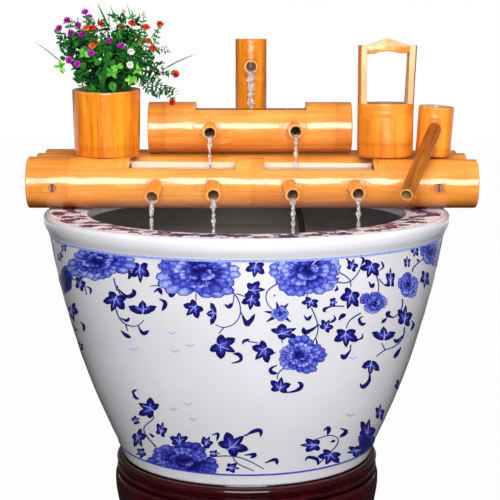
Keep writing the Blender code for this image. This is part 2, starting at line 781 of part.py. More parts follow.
def flower_pot(front, middle):
    """Culm pot with a block of floral foam that holds the plant's stem."""
    place = Matrix.Translation((POT_X, VALLEY_Y, STANDING_Z))
    cup_shape("flower_pot", POT_FOOT_RADIUS, POT_TOP_RADIUS, POT_WALL, POT_HEIGHT, POT_FLOOR, place)
    seat = seat_cutter("pot_seat", POT_FOOT_RADIUS, POT_X)
    cut(front, seat)
    cut(middle, seat)
    slope = (POT_TOP_RADIUS - POT_FOOT_RADIUS) / (POT_HEIGHT - POT_FLOOR)
    low = POT_FOOT_RADIUS - POT_WALL - 2 * GAP
    high = low + slope * FOAM_HEIGHT
    data = rod_mesh("foam_block", low, FOAM_HEIGHT, CULM_SIDES, high)
    lift = Matrix.Translation((0, 0, POT_FLOOR + GAP))
    foam = add_part("foam_block", data, FLORAL_FOAM, place @ lift)
    top = STANDING_Z + POT_FLOOR + GAP + FOAM_HEIGHT
    socket = rod_cutter(
        "stem_socket", STEM_RADIUS + GAP, (POT_X, VALLEY_Y, top - STEM_SOCKET - GAP),
        (POT_X, VALLEY_Y, top + 0.01), SMALL_SIDES
    )
    cut(foam, socket)


def bucket(front, middle):
    """Culm bucket whose wall is cut away above its mouth, but for two uprights."""
    height = BUCKET_HEIGHT + UPRIGHT_HEIGHT
    place = Matrix.Translation((BUCKET_X, VALLEY_Y, STANDING_Z))
    piece = cup_shape("bucket", BUCKET_RADIUS, BUCKET_RADIUS, BUCKET_WALL, height, BUCKET_FLOOR, place)
    mouth = STANDING_Z + BUCKET_HEIGHT
    reach = BUCKET_RADIUS + 0.01
    for side, low, high in (("front", -reach, -UPRIGHT_HALF_WIDTH), ("back", UPRIGHT_HALF_WIDTH, reach)):
        cut(
            piece,
            box_cutter(
                f"bucket_{side}_cut",
                (BUCKET_X - reach, VALLEY_Y + low, mouth),
                (BUCKET_X + reach, VALLEY_Y + high, mouth + UPRIGHT_HEIGHT + 0.01),
            ),
        )
    seat = seat_cutter("bucket_seat", BUCKET_RADIUS, BUCKET_X)
    cut(front, seat)
    cut(middle, seat)


def crossbar():
    """Carved bar between the uprights: arched below and peaked above."""
    bore = BUCKET_RADIUS - BUCKET_WALL
    half = math.sqrt(across_flats(bore, CULM_SIDES) ** 2 - (CROSSBAR_DEPTH / 2) ** 2) - 3 * GAP
    right = half
    outline = [(-half, 0), (-0.45 * half, 0)]
    for i in range(5):
        x = 0.3 * half * (i - 2) / 2
        outline.append((x, CROSSBAR_ARCH * math.cos(math.pi * (i - 2) / 6)))
    outline += [(0.45 * half, 0), (right, 0), (right, CROSSBAR_END)]
    outline += arc((0, CROSSBAR_PEAK - 0.020), 0.020, 60, 120, 5)
    outline.append((-half, CROSSBAR_END))
    data = bpy.data.curves.new("bucket_crossbar", "CURVE")
    data.dimensions = "2D"
    data.fill_mode = "BOTH"
    data.extrude = CROSSBAR_DEPTH / 2
    spline = data.splines.new("POLY")
    spline.points.add(len(outline) - 1)
    for place, point in zip(spline.points, outline):
        place.co = (point[0], point[1], 0, 1)
    spline.use_cyclic_u = True
    height = STANDING_Z + BUCKET_HEIGHT + CROSSBAR_BOTTOM
    upright = Matrix.Translation((BUCKET_X, VALLEY_Y, height)) @ Matrix.Rotation(math.pi / 2, 4, "X")
    add_part("bucket_crossbar", data, BAMBOO, upright)


def water_cup(front, middle):
    """Slim cup that leans a little, with a long pipe from its front wall."""
    lean = Matrix.Rotation(math.radians(CUP_LEAN), 4, "Y")
    place = Matrix.Translation((CUP_X, VALLEY_Y, STANDING_Z)) @ lean
    cup = cup_shape("water_cup", CUP_RADIUS, CUP_RADIUS, CUP_WALL, CUP_HEIGHT, CUP_FLOOR, place)
    seat = seat_cutter("cup_seat", CUP_RADIUS, CUP_X, place)
    cut(front, seat)
    cut(middle, seat)
    way = Vector(PIPE_RUN).normalized()
    pipe_reach = math.sqrt(CUP_RADIUS**2 - PIPE_SHIFT**2)
    root = place @ Vector((PIPE_SHIFT, -pipe_reach, PIPE_HOLE_HEIGHT))
    start = root - way * PIPE_TAIL
    length = PIPE_TAIL + Vector(PIPE_RUN).length
    profile = [(PIPE_BORE, 0), (PIPE_BORE, length), (PIPE_RADIUS, length), (PIPE_RADIUS, 0)]
    turned("long_pipe", profile, SPOUT_SIDES, BAMBOO, along(start, way))
    hole = rod_cutter("long_pipe_hole", PIPE_RADIUS + GAP, start - way * 0.006, root + way * 0.02)
    cut(cup, hole)


def rack():
    """Three culms across the rim, tied by dowels, and all that stands on them."""
    front = culm("front_tube", FRONT_RADIUS, FRONT_LENGTH, (RACK_X, FRONT_Y, FRONT_Z), FRONT_NODES)
    middle = culm("middle_tube", MIDDLE_RADIUS, MIDDLE_LENGTH, (MIDDLE_X, MIDDLE_Y, MIDDLE_Z), MIDDLE_NODES)
    back = culm("back_tube", BACK_RADIUS, BACK_LENGTH, (BACK_X, BACK_Y, BACK_Z), BACK_NODES)
    crest = FRONT_Z + FRONT_RADIUS
    for i, (start, end) in enumerate(SLOTS):
        low = (start, FRONT_Y - FRONT_RADIUS, crest - SLOT_DEPTH)
        high = (end, FRONT_Y + FRONT_RADIUS, crest + 0.01)
        cut(front, box_cutter(f"channel_slot_{i + 1}", low, high))
    for i, (x, slope, turn) in enumerate(FRONT_SPOUTS):
        root = (x, FRONT_Y - FRONT_RADIUS, FRONT_Z - FRONT_SPOUT_DROP)
        cut(front, spout(f"front_spout_{i + 1}", root, slope, turn, FRONT_REACH, CULM_WALL))
    for side, x in zip(("left", "right"), DOWEL_X):
        tie_dowel(side, x, (front, middle, back))
    trough(middle)
    riser(back)
    flower_pot(front, middle)
    bucket(front, middle)
    crossbar()
    water_cup(front, middle)


# Artificial plant


def lumpy_ball(name, centre, half_sizes, detail):
    """A closed ball with shallow lumps, as a mass of small leaves."""
    data = bpy.data.meshes.new(name)
    shape = bmesh.new()
    bmesh.ops.create_icosphere(shape, subdivisions=detail, radius=1.0)
    for vertex in shape.verts:
        way = vertex.co.copy()
        lump = math.sin(7 * way.x + 2) * math.sin(6 * way.y + 1) * math.sin(8 * way.z)
        grown = way * (1 + 0.10 * lump)
        vertex.co = Vector(centre) + Vector([grown[i] * half_sizes[i] for i in range(3)])
    shape.to_mesh(data)
    shape.free()
    return data


def plant():
    """Plastic flowers: leaf masses, flower heads and long leaves on one stem."""
    mouth = STANDING_Z + POT_HEIGHT
    foam_top = STANDING_Z + POT_FLOOR + GAP + FOAM_HEIGHT
    place = Matrix.Translation((POT_X, VALLEY_Y, mouth))
    first = lumpy_ball("artificial_plant", *LEAF_MASSES[0], 3)
    piece = add_part("artificial_plant", first, LEAF_PLASTIC, place)
    for i, (centre, half_sizes) in enumerate(LEAF_MASSES[1:]):
        name = f"leaf_mass_{i + 2}"
        join(piece, add_cutter(name, lumpy_ball(name, centre, half_sizes, 2), place))
    stem_low = (0, 0, foam_top - STEM_SOCKET - mouth)
    stem = along(stem_low, (0, 0, 1))
    data = rod_mesh("plant_stem", STEM_RADIUS, LEAF_MASSES[0][0][2] - stem_low[2], SMALL_SIDES)
    join(piece, add_cutter("plant_stem", data, place @ stem))
    for i, centre in enumerate(FLOWERS):
        name = f"flower_{i + 1}"
        ball = lumpy_ball(name, centre, (FLOWER_RADIUS,) * 3, 1)
        join(piece, add_cutter(name, ball, place))
    for i, (root, tip, radius) in enumerate(BLADES):
        name = f"long_leaf_{i + 1}"
        run = Vector(tip) - Vector(root)
        data = rod_mesh(name, radius, run.length, 6, radius * 0.12)
        join(piece, add_cutter(name, data, place @ along(root, run)))


# Submersible pump


def pump_housing():
    """Potted motor block with the rotor's well in its face."""
    low = (PUMP_X, PUMP_Y - HOUSING_WIDTH / 2, PUMP_Z)
    high = (PUMP_X + HOUSING_LENGTH, PUMP_Y + HOUSING_WIDTH / 2, PUMP_Z + HOUSING_HEIGHT)
    piece = add_part("pump_housing", box_mesh("pump_housing", low, high), PUMP_PLASTIC)
    edge = piece.modifiers.new("rounded edges", "BEVEL")
    edge.width = 0.003
    edge.segments = 1
    well_end = PUMP_X + WELL_DEPTH
    cut(
        piece,
        rod_cutter("rotor_well", WELL_RADIUS, (PUMP_X - 0.01, PUMP_Y, MOTOR_Z), (well_end, PUMP_Y, MOTOR_Z)),
        rod_cutter(
            "shaft_socket", SHAFT_RADIUS + GAP, (well_end - 0.001, PUMP_Y, MOTOR_Z),
            (well_end + SHAFT_SOCKET, PUMP_Y, MOTOR_Z), SMALL_SIDES
        ),
    )


def pump_volute():
    """Impeller chamber with its inlet in front and the hose nozzle on top."""
    low = (VOLUTE_X - VOLUTE_LENGTH, PUMP_Y - VOLUTE_WIDTH / 2, MOTOR_Z - VOLUTE_HEIGHT / 2)
    high = (VOLUTE_X, PUMP_Y + VOLUTE_WIDTH / 2, MOTOR_Z + VOLUTE_HEIGHT / 2)
    piece = add_part("pump_volute", box_mesh("pump_volute", low, high), PUMP_PLASTIC)
    nozzle_top = HOSE_ROUTE[0][2] - GAP
    nozzle = rod_mesh("nozzle", NOZZLE_RADIUS, nozzle_top - high[2] + 0.004, SMALL_SIDES)
    join(piece, add_cutter("nozzle", nozzle, Matrix.Translation((NOZZLE_X, PUMP_Y, high[2] - 0.004))))
    chamber_end = low[0] + (VOLUTE_LENGTH - CHAMBER_DEPTH) / 2
    cut(
        piece,
        rod_cutter(
            "chamber", CHAMBER_RADIUS, (chamber_end, PUMP_Y, MOTOR_Z), (VOLUTE_X + 0.01, PUMP_Y, MOTOR_Z)
        ),
        rod_cutter(
            "inlet", INLET_RADIUS, (low[0] - 0.01, PUMP_Y, MOTOR_Z), (chamber_end + 0.001, PUMP_Y, MOTOR_Z),
            SMALL_SIDES
        ),
        rod_cutter(
            "nozzle_bore", NOZZLE_BORE, (NOZZLE_X, PUMP_Y, MOTOR_Z + CHAMBER_RADIUS - 0.002),
            (NOZZLE_X, PUMP_Y, nozzle_top + 0.01), SMALL_SIDES
        ),
    )


def pump_rotor():
    """Magnet and impeller in one, turning on a ceramic pin."""
    magnet_start = PUMP_X + 0.001
    face = PUMP_X - GAP - 0.002
    spin = Matrix.Translation((face, PUMP_Y, MOTOR_Z)) @ Matrix.Rotation(math.pi / 2, 4, "Y")
    disc = rod_mesh("pump_rotor", IMPELLER_RADIUS, IMPELLER_DISC, SPOUT_SIDES)
    piece = add_part("pump_rotor", disc, ROTOR_PLASTIC, spin)
    run = (magnet_start - face) + MAGNET_LENGTH
    magnet = rod_mesh("magnet", MAGNET_RADIUS, run, SPOUT_SIDES)
    join(piece, add_cutter("magnet", magnet, spin))
    hub = rod_mesh("hub", 0.004, BLADE_LENGTH + 0.001, SMALL_SIDES)
    join(piece, add_cutter("hub", hub, spin @ Matrix.Translation((0, 0, -BLADE_LENGTH))))
    for i in range(BLADE_COUNT):
        name = f"impeller_blade_{i + 1}"
        half = BLADE_THICKNESS / 2
        data = box_mesh(name, (0.002, -half, -BLADE_LENGTH), (0.95 * IMPELLER_RADIUS, half, 0.001))
        turn = Matrix.Rotation(2 * math.pi * i / BLADE_COUNT, 4, "Z")
        join(piece, add_cutter(name, data, spin @ turn))
    nose = face - BLADE_LENGTH
    bore = rod_cutter(
        "rotor_bore", SHAFT_RADIUS + GAP, (nose - 0.01, PUMP_Y, MOTOR_Z),
        (face + run + 0.01, PUMP_Y, MOTOR_Z), SMALL_SIDES
    )
    cut(piece, bore)
    end = PUMP_X + WELL_DEPTH + SHAFT_SOCKET - GAP
    pin = rod_mesh("pump_shaft", SHAFT_RADIUS, end - nose, 8)
    add_part("pump_shaft", pin, CERAMIC_PIN, along((nose, PUMP_Y, MOTOR_Z), (1, 0, 0)))


def pump_strainer():
    """Slotted front cover that pulls off, with the flow dial on its face."""
    low = Vector((STRAINER_X - STRAINER_LENGTH, PUMP_Y - VOLUTE_WIDTH / 2, MOTOR_Z - VOLUTE_HEIGHT / 2))
    high = Vector((STRAINER_X, PUMP_Y + VOLUTE_WIDTH / 2, MOTOR_Z + VOLUTE_HEIGHT / 2))
    piece = add_part("pump_strainer", box_mesh("pump_strainer", low, high), PUMP_PLASTIC)
    inset = Vector((STRAINER_WALL,) * 3)
    open_end = high - inset
    open_end.x = high.x + 0.01
    cut(piece, box_cutter("strainer_inside", low + inset, open_end))
    for i, y in enumerate(STRAINER_SLOTS):
        slot_low = (low.x - 0.01, PUMP_Y + y - STRAINER_SLOT / 2, low.z + 0.006)
        slot_high = (low.x + 2 * STRAINER_WALL, PUMP_Y + y + STRAINER_SLOT / 2, high.z - 0.006)
        cut(piece, box_cutter(f"strainer_slot_{i + 1}", slot_low, slot_high))
    face = low.x - GAP
    inner = low.x + STRAINER_WALL
    hole = rod_cutter(
        "dial_hole", DIAL_PIN + GAP, (low.x - 0.01, PUMP_Y, MOTOR_Z),
        (inner + 0.002, PUMP_Y, MOTOR_Z), SMALL_SIDES
    )
    cut(piece, hole)
    forward = along((face, PUMP_Y, MOTOR_Z), (-1, 0, 0))
    knob = rod_mesh("flow_dial", DIAL_RADIUS, DIAL_THICKNESS, SPOUT_SIDES)
    dial = add_part("flow_dial", knob, PUMP_PLASTIC, forward)
    pin = rod_mesh("dial_pin", DIAL_PIN, STRAINER_WALL + GAP + 0.003, SMALL_SIDES)
    inward = Matrix.Translation((0, 0, -STRAINER_WALL - GAP - 0.001))
    join(dial, add_cutter("dial_pin", pin, forward @ inward))
    low_grip = (-0.0012, -0.006, DIAL_THICKNESS - 0.001)
    grip = box_mesh("dial_grip", low_grip, (0.0012, 0.006, DIAL_THICKNESS + 0.003))
    join(dial, add_cutter("dial_grip", grip, forward))


def pump():
    """The pump on its four suckers, with the gland for its lead."""
    pump_housing()
    pump_volute()
    pump_rotor()
    pump_strainer()
    end = PUMP_X + HOUSING_LENGTH + GAP
    gland = rod_mesh("cable_gland", GLAND_RADIUS, GLAND_LENGTH, SMALL_SIDES, 0.6 * GLAND_RADIUS)
    add_part("cable_gland", gland, SOFT_RUBBER, along((end, PUMP_Y, MOTOR_Z + 0.008), (1, 0, 0)))
    neck = 0.45 * SUCKER_RADIUS
    profile = [(0, SUCKER_HEIGHT), (neck, SUCKER_HEIGHT), (neck, 0.5 * SUCKER_HEIGHT), (SUCKER_RADIUS, 0.001),
               (SUCKER_RADIUS, 0), (0, 0)]
    spots = [(x, y) for x in (0.010, HOUSING_LENGTH - 0.010) for y in (-1, 1)]
    for i, (x, side) in enumerate(spots):
        place = (PUMP_X + x, PUMP_Y + side * (HOUSING_WIDTH / 2 - 0.010), FLOOR_Z + GAP)
        turned(f"sucker_{i + 1}", profile, SMALL_SIDES, SOFT_RUBBER, Matrix.Translation(place), closed=False)


stand()
bowl()
rack()
plant()
pump()
hose()
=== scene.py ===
# %% [markdown]
# # A bamboo fountain on a porcelain bowl
#
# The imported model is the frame: it says where each piece is and what moves. This lesson gives the
# frame its looks. Round pieces come first as a drawn profile that is spun, because bamboo, porcelain
# and turned wood are all round; then come the painted flowers, the water and the plant.
# %% Load the frame
import math
import random

import bpy
import numpy as np
from mathutils import Matrix, Vector


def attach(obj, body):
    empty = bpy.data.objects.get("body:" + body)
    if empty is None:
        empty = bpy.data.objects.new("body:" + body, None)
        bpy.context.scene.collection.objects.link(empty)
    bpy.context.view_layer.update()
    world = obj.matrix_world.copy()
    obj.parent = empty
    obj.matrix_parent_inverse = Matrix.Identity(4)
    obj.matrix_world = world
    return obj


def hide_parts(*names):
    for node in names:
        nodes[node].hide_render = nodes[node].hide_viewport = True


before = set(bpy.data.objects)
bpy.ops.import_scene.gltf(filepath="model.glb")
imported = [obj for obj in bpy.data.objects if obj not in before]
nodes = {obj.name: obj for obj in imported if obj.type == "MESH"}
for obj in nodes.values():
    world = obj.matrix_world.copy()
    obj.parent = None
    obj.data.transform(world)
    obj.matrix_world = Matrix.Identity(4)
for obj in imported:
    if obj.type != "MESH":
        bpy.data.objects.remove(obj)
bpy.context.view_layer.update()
print("pieces in the frame:", len(nodes))

# %% [markdown]
# ## The camera
#
# The photograph was taken from a little above the rim with a long lens. A long lens could also be
# had by cropping, but a real focal length keeps the ellipses of the bowl as flat as they are there.
# %% Camera
BOWL_X = -0.0046
STAND_TOP = 0.150
GAP = 0.0003
BOWL_HEIGHT = 0.331
RIM_Z = STAND_TOP + GAP + BOWL_HEIGHT
EYE_DISTANCE = 1.872
EYE_ABOVE_RIM = 0.243
EYE = Vector((0.0, -EYE_DISTANCE, RIM_Z + EYE_ABOVE_RIM))
TILT_DOWN = math.radians(9.06)
FOCAL_PIXELS = 1400.0
IMAGE_SIDE = 500

bpy.ops.object.camera_add(location=EYE, rotation=(math.pi / 2 - TILT_DOWN, 0, 0))
camera = bpy.context.object
camera.name = "photo_camera"
camera.data.lens = FOCAL_PIXELS / IMAGE_SIDE * camera.data.sensor_width
bpy.context.scene.camera = camera


def pixel_ray(x, y):
    """Direction in space of a place in the picture, from its upper left corner."""
    side = (x - IMAGE_SIDE / 2) / FOCAL_PIXELS
    up = (IMAGE_SIDE / 2 - y) / FOCAL_PIXELS
    return camera.rotation_euler.to_matrix() @ Vector((side, up, -1))


print("lens in millimetres:", round(camera.data.lens, 1))

# %% [markdown]
# ## The supply hose
#
# A black rubber hose brings the water from the pump up through the back culm into the riser. A
# curve with a round bevel is the simplest way to make one, and it keeps an even thickness in bends.
# It is then turned into a mesh, as the other pieces are.
# Its route is the one that the frame's hose follows, so that it stays inside the bamboo.
# %% Hose
HOSE_RADIUS = 0.004
HOSE_ROUTE = (
    (0.0477, 0.0500, 0.2317), (0.0478, 0.0502, 0.2480), (0.0515, 0.0555, 0.2750),
    (0.0615, 0.0720, 0.3150), (0.0715, 0.0960, 0.3600), (0.0765, 0.1190, 0.4000),
    (0.0760, 0.1375, 0.4350), (0.0705, 0.1478, 0.4600), (0.0655, 0.1508, 0.4780),
    (0.0625, 0.1508, 0.4900), (0.0545, 0.1508, 0.5010), (0.0430, 0.1508, 0.5085),
    (0.0300, 0.1508, 0.5125), (0.0180, 0.1508, 0.5190), (0.0085, 0.1508, 0.5290),
    (0.0032, 0.1508, 0.5430), (0.0014, 0.1508, 0.5600), (0.0014, 0.1508, 0.6000),
    (0.0014, 0.1508, 0.6473),
)


def smooth_line(points, steps):
    """Points along a smooth curve through the given ones, with steps in each span."""
    ends = [points[0], *points, points[-1]]
    line = []
    for i in range(1, len(ends) - 2):
        before, here, there, after = (Vector(p) for p in ends[i - 1 : i + 3])
        for k in range(steps):
            t = k / steps
            line.append(
                0.5
                * (
                    2 * here
                    + (there - before) * t
                    + (2 * before - 5 * here + 4 * there - after) * t**2
                    + (3 * here - before - 3 * there + after) * t**3
                )
            )
    line.append(Vector(points[-1]))
    return line


def alone(piece):
    """Select one object and nothing else."""
    bpy.ops.object.select_all(action="DESELECT")
    bpy.context.view_layer.objects.active = piece
    piece.select_set(True)


def edited(piece, *steps):
    """Run each step in edit mode, with the whole mesh selected."""
    alone(piece)
    bpy.ops.object.mode_set(mode="EDIT")
    for step in steps:
        bpy.ops.mesh.select_all(action="SELECT")
        step()
    bpy.ops.object.mode_set(mode="OBJECT")


def merge_close():
    """Merge corners that lie on each other."""
    bpy.ops.mesh.remove_doubles(threshold=0.00001)


def turn_outward():
    """Turn every face outward."""
    bpy.ops.mesh.normals_make_consistent(inside=False)


hose_data = bpy.data.curves.new("hose", "CURVE")
hose_data.dimensions = "3D"
hose_data.bevel_depth = HOSE_RADIUS
hose_data.bevel_resolution = 5
hose_data.use_fill_caps = True
hose_line = smooth_line(HOSE_ROUTE, 4)
hose_spline = hose_data.splines.new("POLY")
hose_spline.points.add(len(hose_line) - 1)
for hose_point, place in zip(hose_spline.points, hose_line):
    hose_point.co = (*place, 1)
hose = bpy.data.objects.new("hose", hose_data)
bpy.context.collection.objects.link(hose)
alone(hose)
bpy.ops.object.convert(target="MESH")
edited(hose, merge_close, turn_outward)
bpy.ops.object.shade_smooth_by_angle(angle=math.radians(40))
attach(hose, "rack")
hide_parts("supply_hose")

# %% [markdown]
# ## Helpers for modelling by hand
#
# Every operator works on what is selected, so each helper clears the selection first. A turned
# piece starts as one vertex, is extruded along its profile, and is spun about the Z axis.
# %% Modelling helpers
SIDE_ON = Matrix.Rotation(math.pi / 2, 4, "Y")
RING_REACH = 0.005


def settle(piece, matrix):
    """Put a piece in its place and leave the place in its mesh."""
    alone(piece)
    piece.matrix_world = matrix @ piece.matrix_world
    bpy.ops.object.transform_apply(location=True, rotation=True, scale=True)


def store_along(piece, rings=()):
    """Keep, for each point, its place along the culm, and how near it is to a node ring."""
    mesh = piece.data
    for name, kind in (("along", "FLOAT_VECTOR"), ("ring", "FLOAT"), ("section", "FLOAT")):
        mesh.attributes.new(name, kind, "POINT")
    # a new layer can move the ones before it, so they are looked up once all of them are there
    along, ring, section = (mesh.attributes[name].data for name in ("along", "ring", "section"))
    for i, vertex in enumerate(mesh.vertices):
        x, y, z = vertex.co
        along[i].vector = (z, x, y)
        near = min((abs(z - height) for height in rings), default=1.0)
        ring[i].value = max(0.0, 1 - near / RING_REACH)
        section[i].value = sum(z > height for height in rings)


def drawn(name, points):
    """Draw a line (x, z) from one vertex, point by point, and stay in edit mode."""
    bpy.ops.object.select_all(action="DESELECT")
    bpy.ops.mesh.primitive_plane_add(size=0.002)
    piece = bpy.context.object
    piece.name = name
    bpy.ops.object.mode_set(mode="EDIT")
    bpy.ops.mesh.select_all(action="SELECT")
    bpy.ops.mesh.merge(type="CENTER")
    bpy.ops.transform.translate(value=(points[0][0], 0, points[0][1]))
    for here, there in zip(points, points[1:]):
        step = (there[0] - here[0], 0, there[1] - here[1])
        bpy.ops.mesh.extrude_region_move(TRANSFORM_OT_translate={"value": step})
    bpy.ops.mesh.select_all(action="SELECT")
    return piece


def lathe(name, profile, steps):
    """Draw a profile (radius, height) and spin it into a closed shell."""
    piece = drawn(name, profile)
    bpy.ops.mesh.spin(steps=steps, angle=2 * math.pi, center=(0, 0, 0), axis=(0, 0, 1))
    bpy.ops.object.mode_set(mode="OBJECT")
    edited(piece, merge_close, turn_outward)
    return piece


def drum(name, radius, start, end, sides=48):
    """A round cutter between two points."""
    run = Vector(end) - Vector(start)
    bpy.ops.object.select_all(action="DESELECT")
    bpy.ops.mesh.primitive_cylinder_add(vertices=sides, radius=radius, depth=run.length)
    cutter = bpy.context.object
    cutter.name = name
    turn = run.to_track_quat("Z", "Y").to_matrix().to_4x4()
    settle(cutter, Matrix.Translation((Vector(start) + Vector(end)) / 2) @ turn)
    return cutter


def block(name, low, high, bevel=0.0):
    """A box between two corners, with its edges rounded."""
    low, high = Vector(low), Vector(high)
    bpy.ops.object.select_all(action="DESELECT")
    bpy.ops.mesh.primitive_cube_add(size=1)
    piece = bpy.context.object
    piece.name = name
    settle(piece, Matrix.Translation((low + high) / 2) @ Matrix.Diagonal((*(high - low), 1)))
    if bevel:
        edited(piece, lambda: bpy.ops.mesh.bevel(offset=bevel, segments=2, affect="EDGES"))
    return piece


def carve(piece, *cutters):
    """Take cutters away from a piece, and remove them."""
    for cutter in cutters:
        step = piece.modifiers.new("carve", "BOOLEAN")
        step.operation = "DIFFERENCE"
        step.solver = "EXACT"
        step.object = cutter
        alone(piece)
        bpy.ops.object.modifier_apply(modifier=step.name)
        bpy.data.objects.remove(cutter, do_unlink=True)


def finish_piece(piece, body, slot, *replaced, angle=35.0):
    """Shade a piece smooth, let it ride on its body, and hide the pieces of the frame that it
    replaces; slot is not used.
    """
    alone(piece)
    bpy.ops.object.shade_smooth_by_angle(angle=math.radians(angle))
    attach(piece, body)
    if replaced:
        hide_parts(*replaced)
    return piece


def turned_piece(name, profile, steps, place, finish, *rest, angle=35.0):
    """A turned piece of one finish: its profile, place and what finish_piece needs."""
    piece = lathe(name, profile, steps)
    settle(piece, Matrix.Translation(place))
    piece.data.materials.append(finish)
    return finish_piece(piece, *rest, angle=angle)


# %% [markdown]
# ## Finishes
#
# The bamboo is peeled, dyed honey and lacquered. Its fibres run along the culm, so the colour is
# noise that is stretched along it. One group makes the fibres for the lacquered outside, the pale
# cuts and the dull bores, each with its own colours.
# %% Shader helpers
def new_finish(name):
    """A new material, its tree and its Principled shader."""
    finish = bpy.data.materials.new(name)
    finish.use_nodes = True
    return finish, finish.node_tree, finish.node_tree.nodes["Principled BSDF"]


def feed(tree, socket, value):
    """Link a socket to another one, or set it to a number or a colour."""
    if isinstance(value, bpy.types.NodeSocket):
        tree.links.new(value, socket)
    else:
        socket.default_value = (*value, 1) if isinstance(value, tuple) else value


def attribute(tree, name, output="Fac"):
    """A value kept on the mesh."""
    node = tree.nodes.new("ShaderNodeAttribute")
    node.attribute_name = name
    return node.outputs[output]


def object_place(tree):
    """The place of each point in the piece's own space."""
    return tree.nodes.new("ShaderNodeTexCoord").outputs["Object"]


def calculate(tree, operation, first, second):
    """One step of arithmetic on sockets or numbers."""
    node = tree.nodes.new("ShaderNodeMath")
    node.operation = operation
    for socket, value in zip(node.inputs, (first, second)):
        feed(tree, socket, value)
    return node.outputs[0]


def mix_colour(tree, factor, low, high, blend="MIX"):
    """Mix two colours: each of the three may be a socket or a value."""
    node = tree.nodes.new("ShaderNodeMix")
    node.data_type = "RGBA"
    node.blend_type = blend
    for index, value in ((0, factor), (6, low), (7, high)):
        feed(tree, node.inputs[index], value)
    return node.outputs[2]


def ramp(tree, value, *stops):
    """Turn a value into colours at the given stops."""
    node = tree.nodes.new("ShaderNodeValToRGB")
    tree.links.new(value, node.inputs[0])
    elements = node.color_ramp.elements
    while len(elements) < len(stops):
        elements.new(0.5)
    for element, (place, colour) in zip(elements, stops):
        element.position = place
        element.color = (*colour, 1)
    return node.outputs[0]


def rescale(tree, value, start, end, low=0.0, high=1.0):
    """Turn the span from start to end into the one from low to high."""
    node = tree.nodes.new("ShaderNodeMapRange")
    for name, number in (("From Min", start), ("From Max", end), ("To Min", low), ("To Max", high)):
        node.inputs[name].default_value = number
    tree.links.new(value, node.inputs["Value"])
    return node.outputs[0]


def noise(tree, vector, scale, detail=4.0, roughness=0.5, stretch=(1, 1, 1), distortion=0.0):
    """Noise on stretched coordinates."""
    mapping = tree.nodes.new("ShaderNodeMapping")
    mapping.inputs["Scale"].default_value = stretch
    tree.links.new(vector, mapping.inputs["Vector"])
    node = tree.nodes.new("ShaderNodeTexNoise")
    node.inputs["Scale"].default_value = scale
    node.inputs["Detail"].default_value = detail
    node.inputs["Roughness"].default_value = roughness
    node.inputs["Distortion"].default_value = distortion
    tree.links.new(mapping.outputs[0], node.inputs["Vector"])
    return node.outputs[0]


def bumped(tree, shader, height, strength, distance):
    """Let a height push the shading in and out."""
    relief = tree.nodes.new("ShaderNodeBump")
    relief.inputs["Strength"].default_value = strength
    relief.inputs["Distance"].default_value = distance
    tree.links.new(height, relief.inputs["Height"])
    tree.links.new(relief.outputs[0], shader.inputs["Normal"])


# %% [markdown]
# Bamboo is a bundle of long fibres. A picture of bamboo would show its seam and blur up close, so
# the fibres are noises that are squeezed across the culm and drawn out along it. The group gives a
# colour and a height, and each finish feeds it its own two colours.
# %% Fibre group
FIBRE_SOCKETS = (
    ("Along", "Vector", "INPUT"), ("Light", "Color", "INPUT"), ("Dark", "Color", "INPUT"),
    ("Ring", "Float", "INPUT"), ("Section", "Float", "INPUT"), ("Below", "Float", "INPUT"),
    ("Grain", "Float", "INPUT"), ("Colour", "Color", "OUTPUT"), ("Height", "Float", "OUTPUT"),
)


def make_fibre_group():
    """Bamboo fibres: colour and height from the place along the culm."""
    group = bpy.data.node_groups.new("bamboo fibres", "ShaderNodeTree")
    for name, kind, way in FIBRE_SOCKETS:
        group.interface.new_socket(name, in_out=way, socket_type=f"NodeSocket{kind}")
    start = group.nodes.new("NodeGroupInput")
    end = group.nodes.new("NodeGroupOutput")
    along = start.outputs["Along"]
    fine = noise(group, along, 1.0, 3, 0.6, (9, 420, 420))
    broad = noise(group, along, 1.0, 3, 0.5, (5, 90, 90), 0.3)
    patches = noise(group, along, 1.0, 2, 0.5, (14, 26, 26))
    flecks = noise(group, along, 1.0, 2, 0.5, (38, 520, 520))
    peel = noise(group, along, 1.0, 3, 0.6, (260, 360, 360))
    waves = noise(group, along, 1.0, 1, 0.4, (24, 34, 34))
    streaks = mix_colour(group, 0.6, fine, broad)
    shade = ramp(group, streaks, (0.33, (0, 0, 0)), (0.57, (1, 1, 1)))
    fibred = mix_colour(group, shade, start.outputs["Dark"], start.outputs["Light"])
    # short dark bundles of fibre show through the lacquer
    bundles = ramp(group, flecks, (0.28, (0.62, 0.42, 0.24)), (0.42, (1, 1, 1)))
    base = mix_colour(group, start.outputs["Grain"], fibred, bundles, "MULTIPLY")
    cloud = ramp(group, patches, (0.36, (0.92, 0.82, 0.66)), (0.64, (1.02, 1.08, 1.26)))
    clouded = mix_colour(group, 1.0, base, cloud, "MULTIPLY")
    # each length between two nodes takes the dye a little differently
    tone = calculate(group, "PINGPONG", start.outputs["Section"], 1.0)
    toned = mix_colour(group, tone, (0.93, 0.88, 0.80), (1.04, 1.04, 1.04))
    sectioned = mix_colour(group, 1.0, clouded, toned, "MULTIPLY")
    ring_shade = ramp(group, start.outputs["Ring"], (0.0, (1, 1, 1)), (0.9, (0.86, 0.76, 0.62)))
    ringed = mix_colour(group, 0.6, sectioned, ring_shade, "MULTIPLY")
    # painted shade: the more a surface faces down, the darker it gets, nearly black right underneath
    painted_underside_shade = ramp(
        group, start.outputs["Below"], (0.0, (1, 1, 1)), (0.55, (0.88, 0.80, 0.64)),
        (0.86, (0.44, 0.29, 0.12)), (0.975, (0.10, 0.04, 0.02)),
    )
    group.links.new(mix_colour(group, 1.0, ringed, painted_underside_shade, "MULTIPLY"), end.inputs["Colour"])
    group.links.new(mix_colour(group, 0.09, waves, peel), end.inputs["Height"])
    return group


